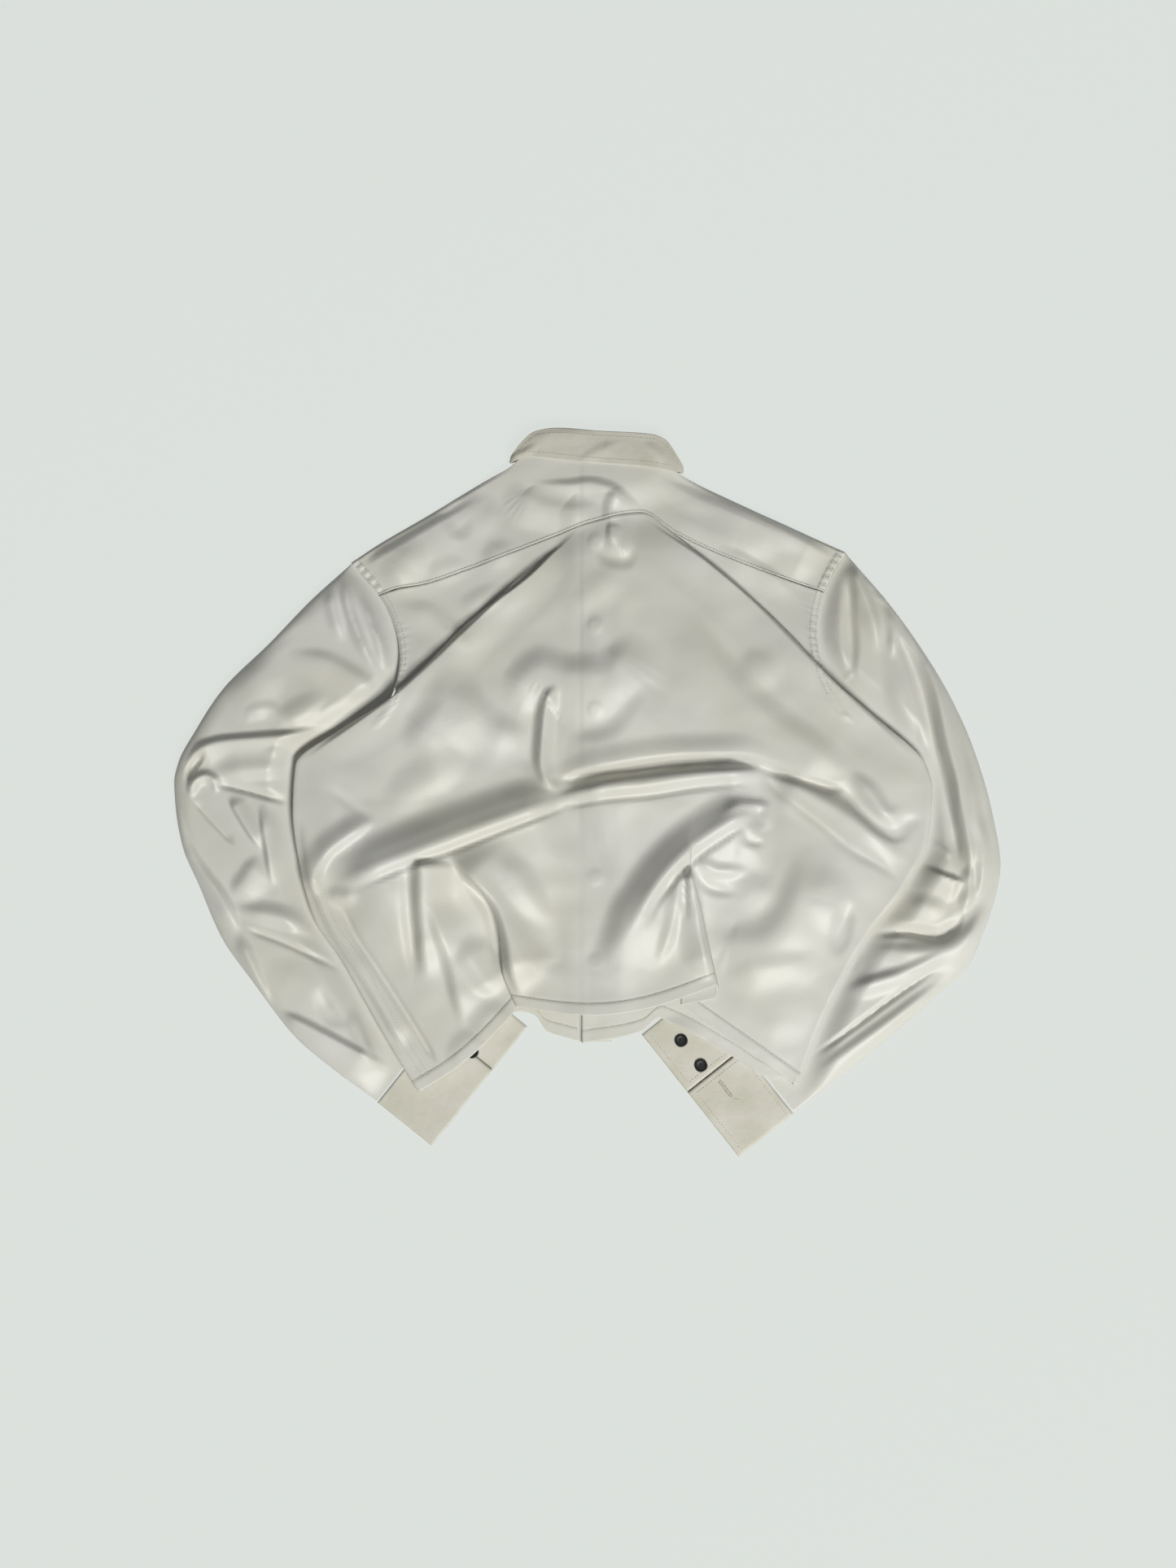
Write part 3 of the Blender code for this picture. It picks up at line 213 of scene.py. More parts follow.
YOKE_SEAM = (
    (0.0, -193.5, 181.0),
    (0.05, -177.0, 187.0),
    (0.12, -150.8, 192.0),
    (0.22, -108.8, 206.2),
    (0.4, -30.8, 236.2),
    (0.5, 10.0, 251.0),
    (0.6, 49.5, 258.5),
    (0.68, 81.8, 239.0),
    (0.78, 119.2, 221.2),
    (0.92, 179.2, 198.0),
    (1.0, 217.5, 184.8),
)
YOKE_TOP = (
    (0.0, -216.0, 211.0),
    (0.08, -188.2, 230.2),
    (0.18, -143.2, 257.0),
    (0.3, -90.8, 288.4),
    (0.35, -72.0, 298.5),
    (0.4, -52.0, 312.5),
    (0.44, -28.5, 311.0),
    (0.5, 5.0, 307.5),
    (0.58, 50.0, 304.5),
    (0.63, 76.0, 299.5),
    (0.66, 90.0, 290.5),
    (0.76, 140.0, 266.0),
    (0.88, 190.0, 243.0),
    (1.0, 238.0, 221.0),
)
# The back neck lies on the folded collar
NECK_HEIGHT = 5.0
NECK_X, NECK_Y = 8.0, 308.0
NECK_WIDE, NECK_DEEP = 78.0, 34.0
# Between these shares of its size, the lifted neck eases down to the rest
NECK_FULL, NECK_END = 0.75, 1.6
# Beyond these distances from the neck, the yoke's top edge drops onto the fronts
SHOULDER_NEAR, SHOULDER_FAR = 70.0, 110.0
# Share of the yoke's way down over which it drops there
SHOULDER_EASE = 0.05
# Share of the yoke's width over which its ends bend to the armholes
YOKE_END = 0.16
# The yoke's lower edge is turned in: where the turn ends and is full, and its height
YOKE_TURN_END, YOKE_TURN_FULL = 2.5, 0.8
YOKE_TURN_HEIGHT = 0.5

LEFT_SLEEVE_OUTER = (
    (0.0, *LEFT_ARMHOLE[0]),
    (0.08, -252.8, 179.2),
    (0.17, -291.0, 139.5),
    (0.27, -336.0, 95.2),
    (0.35, -360.0, 58.5),
    (0.42, -376.5, 27.0),
    (0.45, -379.8, 11.0),
    (0.5, -378.5, -12.0),
    (0.57, -372.0, -48.8),
    (0.64, -357.0, -84.0),
    (0.72, -336.0, -132.8),
    (0.8, -304.0, -178.0),
    (0.88, -267.8, -225.0),
    (0.94, -230.2, -256.5),
    (1.0, -193.5, -283.0),
)
LEFT_SLEEVE_MIDDLE = (
    (0.0, *LEFT_ARMHOLE[1]),
    (0.15, -234.0, 78.0),
    (0.3, -274.0, 30.0),
    (0.45, -300.0, -14.0),
    (0.6, -290.0, -62.0),
    (0.75, -250.0, -125.0),
    (0.88, -200.0, -185.0),
    (1.0, -149.5, -228.0),
)
LEFT_SLEEVE_INNER = (
    (0.0, *LEFT_ARMHOLE[2]),
    (0.1, -258.0, -6.0),
    (0.2, -248.0, -22.0),
    (0.45, -210.0, -56.0),
    (0.65, -178.0, -85.0),
    (0.85, -142.0, -135.0),
    (1.0, -105.5, -173.0),
)
RIGHT_SLEEVE_OUTER = (
    (0.0, *RIGHT_ARMHOLE[0]),
    (0.1, 282.8, 168.8),
    (0.18, 309.8, 130.5),
    (0.27, 334.5, 89.2),
    (0.36, 355.0, 44.0),
    (0.48, 373.5, -18.8),
    (0.57, 381.0, -66.8),
    (0.63, 376.0, -96.0),
    (0.7, 364.5, -129.8),
    (0.76, 351.0, -159.0),
    (0.83, 324.0, -185.0),
    (0.92, 261.8, -238.5),
    (1.0, 191.5, -293.5),
)
RIGHT_SLEEVE_MIDDLE = (
    (0.0, *RIGHT_ARMHOLE[1]),
    (0.15, 266.0, 84.0),
    (0.3, 300.0, 30.0),
    (0.45, 312.0, -25.0),
    (0.6, 300.0, -75.0),
    (0.75, 262.0, -135.0),
    (0.88, 205.0, -190.0),
    (1.0, 146.5, -237.0),
)
RIGHT_SLEEVE_INNER = (
    (0.0, *RIGHT_ARMHOLE[2]),
    (0.1, 304.0, -6.0),
    (0.2, 296.0, -24.0),
    (0.45, 243.0, -56.0),
    (0.65, 198.0, -92.0),
    (0.85, 145.0, -145.0),
    (1.0, 102.0, -180.5),
)
# How high a sleeve's top stands, and how far its rounded edge, its hollow beside the
# body and its hollow beside the armhole reach
SLEEVE_PUFF = 9.0
SLEEVE_ROUND = 16.0
SLEEVE_HOLLOW = 26.0
SEAM_HOLLOW = 22.0
# Share of a sleeve's length over which it is pressed flat at its head and at its cuff
SLEEVE_HEAD, SLEEVE_FOOT = 0.12, 0.05
# How much of the unevenness of handled cloth a sleeve has
SLEEVE_UNEVEN = 0.7
# A hidden sleeve's bed: how far it goes on outwards, its room at the underarm, and how
# far round it the body lies level and then eases down to the fronts
BEYOND = 250.0
UNDERARM_ROOM = 9.0
HIDDEN_MARGIN = 21.0
HIDDEN_RAMP = 80.0

# Cuffs: corner at the sleeve's outer edge, corner at its inner edge, share of the width
# at which the slit lies, and how far the two buttons are from the inner edge
LEFT_CUFF = {
    "outer": (-193.5, -284.0),
    "inner": (-105.5, -174.0),
    "slit": 0.64,
    "buttons": (17.0, 49.8),
}
RIGHT_CUFF = {
    "outer": (191.0, -294.5),
    "inner": (101.5, -181.5),
    "slit": 0.53,
    "buttons": (27.0, 56.4),
}
CUFF_HEIGHT = 65.0
CUFF_SLIT_GAP = 1.2
# How far a cuff's buttons are above the wrist
CUFF_BUTTON_UP = 25.0
# How much the cuffs' upper side stands up, and how much of the unevenness it has
CUFF_PUFF = 0.5
CUFF_UNEVEN = 0.45
# Distance of a cuff's stitches from its edges
CUFF_ROW = 6.0

FRONT_LEFT_INNER = (
    (0.0, -72.0, 294.0),
    (0.04, -44.0, 301.0),
    (0.08, -7.8, 300.0),
    (0.14, -7.8, 272.0),
    (0.43, -7.8, 12.0),
    (1.0, -7.8, -227.5),
)
FRONT_RIGHT_INNER = (
    (0.0, 88.0, 286.0),
    (0.04, 50.0, 293.0),
    (0.08, -4.5, 300.0),
    (0.14, -4.5, 272.0),
    (0.43, -4.5, 12.0),
    (1.0, -4.5, -229.8),
)
# Where a front's armhole starts and ends, its rows down the armhole and the side, and
# how far it stays inside the fold of the back
FRONT_SHOULDER = 0.03
FRONT_UNDERARM = 0.9
FRONT_ARMHOLE_ROWS = 8
FRONT_SIDE_ROWS = 9
FRONT_SIDE_INSET = 4.5
# Shares of the fold of the back that the side follows, and of the armhole between which
# the slack at the underarm comes in
FRONT_SIDE = (0.47, 0.97)
SLACK_FROM, SLACK_FULL = 0.5, 0.8
# Share of the way down from which a front's rows bend to its hem
FRONT_BENDS_FROM = 0.55
LEFT_FRONT_CORNER = (-151.5, -267.0)
RIGHT_FRONT_CORNER = (189.5, -262.0)
# The hems of the fronts: share of the way across, how far above a straight line
LEFT_FRONT_HEM = (
    (0.0, 0.0),
    (0.3, 20.0),
    (0.6, 42.0),
    (0.72, 35.0),
    (0.8, 17.0),
    (0.9, 8.0),
    (1.0, 0.0),
)
RIGHT_FRONT_HEM = (
    (0.0, 0.0),
    (0.13, -2.0),
    (0.3, 12.0),
    (0.58, 33.0),
    (0.63, 35.0),
    (0.72, 20.0),
    (1.0, 0.0),
)

COLLAR_TOP = (
    (0.0, -69.5, 309.0),
    (0.06, -63.0, 319.0),
    (0.16, -47.2, 332.5),
    (0.28, -28.5, 335.5),
    (0.5, 9.0, 333.0),
    (0.78, 58.5, 330.0),
    (0.86, 71.2, 325.5),
    (0.94, 80.5, 314.0),
    (1.0, 88.0, 300.5),
)
COLLAR_LOW = (
    (0.0, -70.5, 303.5),
    (0.1, -53.2, 309.0),
    (0.28, -28.5, 307.0),
    (0.5, 5.0, 303.5),
    (0.75, 50.0, 300.5),
    (1.0, 88.5, 294.5),
)

# Height of the folded collar at its foot, share of it left at the head, width of its
# round ends, and where its underside is open
COLLAR_RISE = 10.2
COLLAR_SHUT = 0.92
COLLAR_END = 0.03
COLLAR_OPEN = (0.42, 0.58)
# How far the stand lies inside the folded collar, and inside its foot and its head
STAND_INSET = CLOTH + 0.5
STAND_FOOT = 5.4
STAND_HEAD = 2.0

# How finely each piece is drawn: points down it, and points across it or its parts
BACK_ROWS, BACK_FINE = 188, 19
YOKE_ROWS, YOKE_COLUMNS = 84, 330
FRONT_ROWS, FRONT_COLUMNS = 180, 110
BAND_ROWS, BAND_COLUMNS = 130, 16
SLEEVE_ROWS, SLEEVE_TOP_COLUMNS, SLEEVE_LOW_COLUMNS = 220, 120, 36
CUFF_ROWS, CUFF_FIRST_COLUMNS, CUFF_LOW_COLUMNS, CUFF_LAST_COLUMNS = 30, 26, 40, 36
COLLAR_ROWS, COLLAR_COLUMNS = 34, 44
# Rows of the back and fronts that lie close together at the hem
HEM_ROWS = 22

# Folds: name, places from start to end, height, width on the left, width on the right,
# share of the length that rises, share that falls, and how crisp the crest is
BACK_FOLDS = (
    (
        "roll, left half",
        ((-235, -82), (-196, -67), (-160, -52), (-124, -38), (-86, -24), (-49, -12), (-11, 2)),
        15.1, 32, 110, 0.2, 0.2, 0.1,
    ),
    (
        "roll, left rim",
        ((-235, -86), (-196, -72), (-160, -58), (-124, -44), (-86, -30), (-49, -18), (-11, -4)),
        3.4, 14, 14, 0.15, 0.2, 0.1,
    ),
    (
        "roll, right half",
        ((-34, -7), (4, 5), (59, 14), (104, 19), (138, 20), (161, 18)),
        8.8, 10, 100, 0.25, 0.15, 0.1,
    ),
    (
        "roll, right rim",
        ((-34, -8), (4, 2), (59, 10), (104, 16), (138, 19), (161, 17)),
        3.8, 10, 13, 0.25, 0.15, 0.1,
    ),
    (
        "roll, lower edge",
        ((-220, -92), (-188, -77), (-151, -62), (-116, -50), (-76, -34), (-46, -23), (-13, -11)),
        -4.2, 13, 4, 0.2, 0.15, 0.4,
    ),
    (
        "roll, lower edge right",
        ((-23, -14), (14, -6), (59, -2), (101, 5), (155, 10)),
        -3.6, 12, 4, 0.15, 0.2, 0.4,
    ),
    (
        "lip over the roll",
        ((-37, 14), (1, 23), (58, 34), (98, 38), (140, 38), (167, 31), (203, 16)),
        4.5, 20, 9, 0.2, 0.3, 0.1,
    ),
    (
        "crease above the roll",
        ((-25, 10), (1, 16), (31, 20), (61, 24), (100, 27), (139, 28), (161, 23)),
        -10, 8, 6, 0.15, 0.15, 0.2,
    ),
    (
        "crease above the tail",
        ((155, 26), (179, 18), (209, 9), (227, 5), (239, 9)),
        -6.2, 6, 9, 0.2, 0.25, 0.5,
    ),
    (
        "tail, crest",
        ((167, 17), (198, 2), (232, -17), (266, -43), (293, -65)),
        10.3, 16, 30, 0.2, 0.35, 0.2,
    ),
    (
        "tail, upper crease",
        ((232, 11), (244, -5), (256, -20), (271, -33), (283, -38), (295, -28), (310, -22)),
        -6.2, 12, 9, 0.2, 0.3, 0.3,
    ),
    (
        "tail, lower crease",
        ((162, 21), (176, 5), (198, -13), (218, -28), (243, -49), (269, -65), (289, -83)),
        -5.4, 6, 10, 0.15, 0.3, 0.5,
    ),
    ("tail, second crest", ((242, 22), (259, 0), (277, -19), (290, -10)), 5.4, 12, 12, 0.35, 0.35, 0.2),
    (
        "left hook",
        ((-250, -97), (-249, -77), (-239, -56), (-218, -39), (-193, -23)),
        7.5, 20, 8, 0.2, 0.25, 0.3,
    ),
    ("left hook, foot", ((-239, -88), (-224, -95), (-208, -88)), 3.6, 12, 12, 0.35, 0.4, 0.1),
    ("left upper line", ((-242, 10), (-223, -5), (-206, -17), (-191, -28)), -1.6, 9, 9, 0.4, 0.3, 0.3),
    (
        "big ridge",
        ((164, -7), (127, -28), (91, -53), (64, -82), (46, -110), (28, -143), (5, -178)),
        16, 64, 29, 0.15, 0.35, 0.1,
    ),
    (
        "big ridge, rim",
        ((161, -10), (125, -31), (91, -56), (64, -85), (46, -113), (31, -139)),
        3.5, 8, 12, 0.15, 0.4, 0.2,
    ),
    (
        "big ridge, edge",
        ((154, -23), (124, -42), (100, -59), (80, -80), (63, -103), (52, -131)),
        -4.6, 4, 13, 0.15, 0.4, 0.4,
    ),
    (
        "crease to the roll",
        ((-25, 98), (-36, 88), (-40, 60), (-42, 30), (-38, 13), (-23, 1)),
        7.5, 14, 8, 0.15, 0.2, 0.5,
    ),
    ("hollow west of it", ((-44, 94), (-50, 64), (-52, 34), (-44, 13)), -3.4, 7, 16, 0.3, 0.25, 0.3),
    (
        "lower left ridge",
        ((-151, -58), (-151, -94), (-149, -131), (-146, -173)),
        10.0, 36, 10, 0.08, 0.35, 0.2,
    ),
    (
        "lower left hollow",
        ((-164, -62), (-163, -101), (-160, -139), (-156, -176)),
        -4.1, 8, 9, 0.15, 0.3, 0.4,
    ),
    (
        "lower left second ridge",
        ((-145, -94), (-131, -130), (-120, -169), (-112, -217)),
        7, 34, 12, 0.3, 0.3, 0.1,
    ),
    ("lower left third ridge", ((-116, -131), (-98, -161), (-82, -188)), 5.5, 28, 18, 0.35, 0.3, 0.1),
    (
        "left lap crest",
        ((-124, -53), (-101, -80), (-80, -104), (-72, -131), (-68, -161), (-59, -188)),
        13, 50, 9, 0.2, 0.25, 0.1,
    ),
    (
        "left lap gap",
        ((-113, -76), (-94, -97), (-86, -116), (-82, -140), (-79, -166)),
        -6, 5, 10, 0.25, 0.3, 0.2,
    ),
    (
        "tail panel, left drape",
        ((-97, -62), (-64, -106), (-40, -139), (-13, -166)),
        -4, 24, 22, 0.3, 0.3, 0.1,
    ),
    ("tail panel, left light", ((-79, -53), (-55, -91), (-34, -124)), 3, 20, 20, 0.35, 0.4, 0.0),
    ("right lap crest", ((94, -65), (99, -94), (105, -131), (114, -173)), 11.5, 4, 25, 0.12, 0.25, 0.3),
    ("right lap stripe", ((89, -65), (89, -90), (92, -119)), -6.2, 4, 5, 0.15, 0.4, 0.5),
    ("right lap, inner crest", ((82, -77), (79, -116), (64, -161)), 4.1, 8, 12, 0.3, 0.4, 0.3),
    ("swirl", ((118, -23), (143, -10), (163, -12), (165, -26), (153, -37)), 4.7, 7, 7, 0.3, 0.3, 0.3),
    ("swirl, eye", ((143, -28), (148, -43), (163, -46)), -4.1, 7, 7, 0.3, 0.3, 0.4),
    ("apex, first ray", ((97, -68), (113, -86), (140, -92)), -4.1, 8, 9, 0.2, 0.4, 0.3),
    ("apex, second ray", ((101, -61), (122, -71), (149, -71)), 4.1, 9, 9, 0.2, 0.4, 0.2),
    (
        "right part, arc",
        ((115, -118), (131, -137), (157, -139), (183, -119), (198, -86), (202, -46)),
        7.5, 26, 46, 0.3, 0.35, 0.0,
    ),
    ("right part, bright dome", ((138, -75), (157, -89), (169, -71)), 3, 24, 24, 0.4, 0.4, 0.0),
    (
        "right part, slope line",
        ((122, -172), (157, -164), (194, -157), (215, -145)),
        3, 18, 28, 0.35, 0.35, 0.0,
    ),
    ("right part, dark hollow", ((239, -97), (235, -122), (227, -152)), -4, 12, 13, 0.3, 0.4, 0.1),
    ("right part, rise", ((214, -59), (224, -94), (218, -131)), 3.2, 24, 24, 0.4, 0.4, 0.0),
    ("right part, low swell", ((161, -173), (176, -203), (172, -236)), 1.4, 32, 28, 0.4, 0.4, 0.0),
    (
        "s-curve, top",
        ((-62, 77), (-58, 100), (-41, 112), (-16, 106), (13, 106), (32, 118), (49, 149)),
        7.5, 26, 52, 0.25, 0.25, 0.0,
    ),
    ("s-curve, low", ((-20, 47), (10, 44), (34, 55), (52, 80), (59, 101)), 5, 20, 46, 0.3, 0.3, 0.0),
    ("left wing crest", ((-169, 37), (-148, 52), (-129, 82), (-121, 119)), 7, 28, 50, 0.3, 0.35, 0.0),
    (
        "left wing second crest",
        ((-49, 50), (-77, 55), (-100, 71), (-110, 104)),
        5, 36, 22, 0.35, 0.4, 0.0,
    ),
    ("left wing, low swell", ((-188, -19), (-151, 11), (-106, 34)), 4.1, 26, 24, 0.4, 0.4, 0.0),
    (
        "right diagonal light",
        ((88, 167), (122, 109), (172, 61), (217, 31), (242, 10)),
        5.5, 24, 46, 0.35, 0.2, 0.0,
    ),
    ("right wing crest", ((134, 115), (154, 113), (176, 130)), 3, 24, 26, 0.4, 0.4, 0.0),
    (
        "beside the side seam",
        ((-226, -98), (-215, -124), (-189, -165), (-165, -202), (-137, -248)),
        -3.8, 4, 6, 0.15, 0.1, 0.4,
    ),
    (
        "left edge crest",
        ((-262, -19), (-254, -71), (-238, -116), (-203, -172), (-166, -236)),
        4.1, 16, 6, 0.2, 0.1, 0.2,
    ),
    ("left fold edge", ((-16, 235), (-83, 175), (-178, 88), (-266, 26)), 6.2, 34, 4, 0.2, 0.25, 0.1),
    ("right fold edge", ((53, 251), (130, 196), (215, 112), (305, 29)), 5.4, 4, 34, 0.2, 0.25, 0.1),
    (
        "under the yoke, hollow",
        ((10, 239), (17, 220), (34, 215), (46, 230)),
        -3.4, 12, 12, 0.35, 0.35, 0.0,
    ),
    ("under the yoke, bright", ((23, 251), (22, 239), (28, 227)), 3.6, 12, 6, 0.3, 0.4, 0.1),
    ("under the yoke, stroke", ((-16, 170), (11, 187), (31, 214)), 2.4, 20, 22, 0.4, 0.4, 0.0),
    ("middle column", ((16, 176), (8, 139), (7, 94)), 2, 16, 18, 0.4, 0.4, 0.0),
    (
        "left shoulder, slant",
        ((-172, 178), (-146, 167), (-124, 149), (-101, 131)),
        3.4, 8, 24, 0.3, 0.4, 0.2,
    ),
    ("left shoulder, facet", ((-121, 170), (-98, 178), (-74, 194)), 2.4, 14, 18, 0.4, 0.4, 0.0),
    (
        "right shoulder, facet",
        ((119, 227), (142, 214), (172, 197), (198, 175)),
        3, 10, 22, 0.3, 0.4, 0.1,
    ),
)
YOKE_FOLDS = (
    (
        "yoke fold",
        ((-53, 289), (-40, 283), (-17, 282), (2, 284), (22, 279), (35, 270), (56, 253)),
        3.6, 9, 18, 0.35, 0.35, 0.1,
    ),
    (
        "yoke fold, lower",
        ((-68, 287), (-61, 272), (-41, 262), (-16, 259), (16, 262)),
        6, 20, 26, 0.3, 0.45, 0.0,
    ),
    (
        "yoke right lip",
        ((64, 290), (97, 272), (134, 256), (179, 238), (220, 221)),
        3.6, 12, 20, 0.25, 0.35, 0.1,
    ),
    ("yoke right swell", ((82, 256), (119, 239), (157, 227), (179, 218)), 3.2, 18, 22, 0.4, 0.4, 0.0),
    ("yoke left valley", ((-134, 269), (-123, 251), (-109, 233)), -2.8, 20, 15, 0.35, 0.35, 0.0),
    ("yoke left, middle swell", ((-112, 277), (-98, 259), (-76, 247)), 2.2, 20, 28, 0.4, 0.4, 0.0),
    ("yoke left, second swell", ((-101, 211), (-82, 218), (-71, 235)), 2.6, 18, 18, 0.4, 0.4, 0.0),
    ("yoke left end", ((-191, 190), (-166, 209), (-152, 233)), 3.2, 22, 24, 0.4, 0.4, 0.0),
    ("yoke left end, low", ((-151, 197), (-127, 206), (-106, 211)), 1.3, 14, 18, 0.4, 0.4, 0.0),
    ("tuck above the seam", ((35, 281), (26, 272), (22, 260), (23, 247)), 3.4, 14, 10, 0.4, 0.25, 0.0),
    ("left shoulder", ((-205, 206), (-150, 238), (-95, 270)), 6.0, 12, 56, 0.2, 0.35, 0.0),
    ("right shoulder", ((226, 214), (168, 246), (104, 275)), 6.0, 56, 12, 0.2, 0.35, 0.0),
)
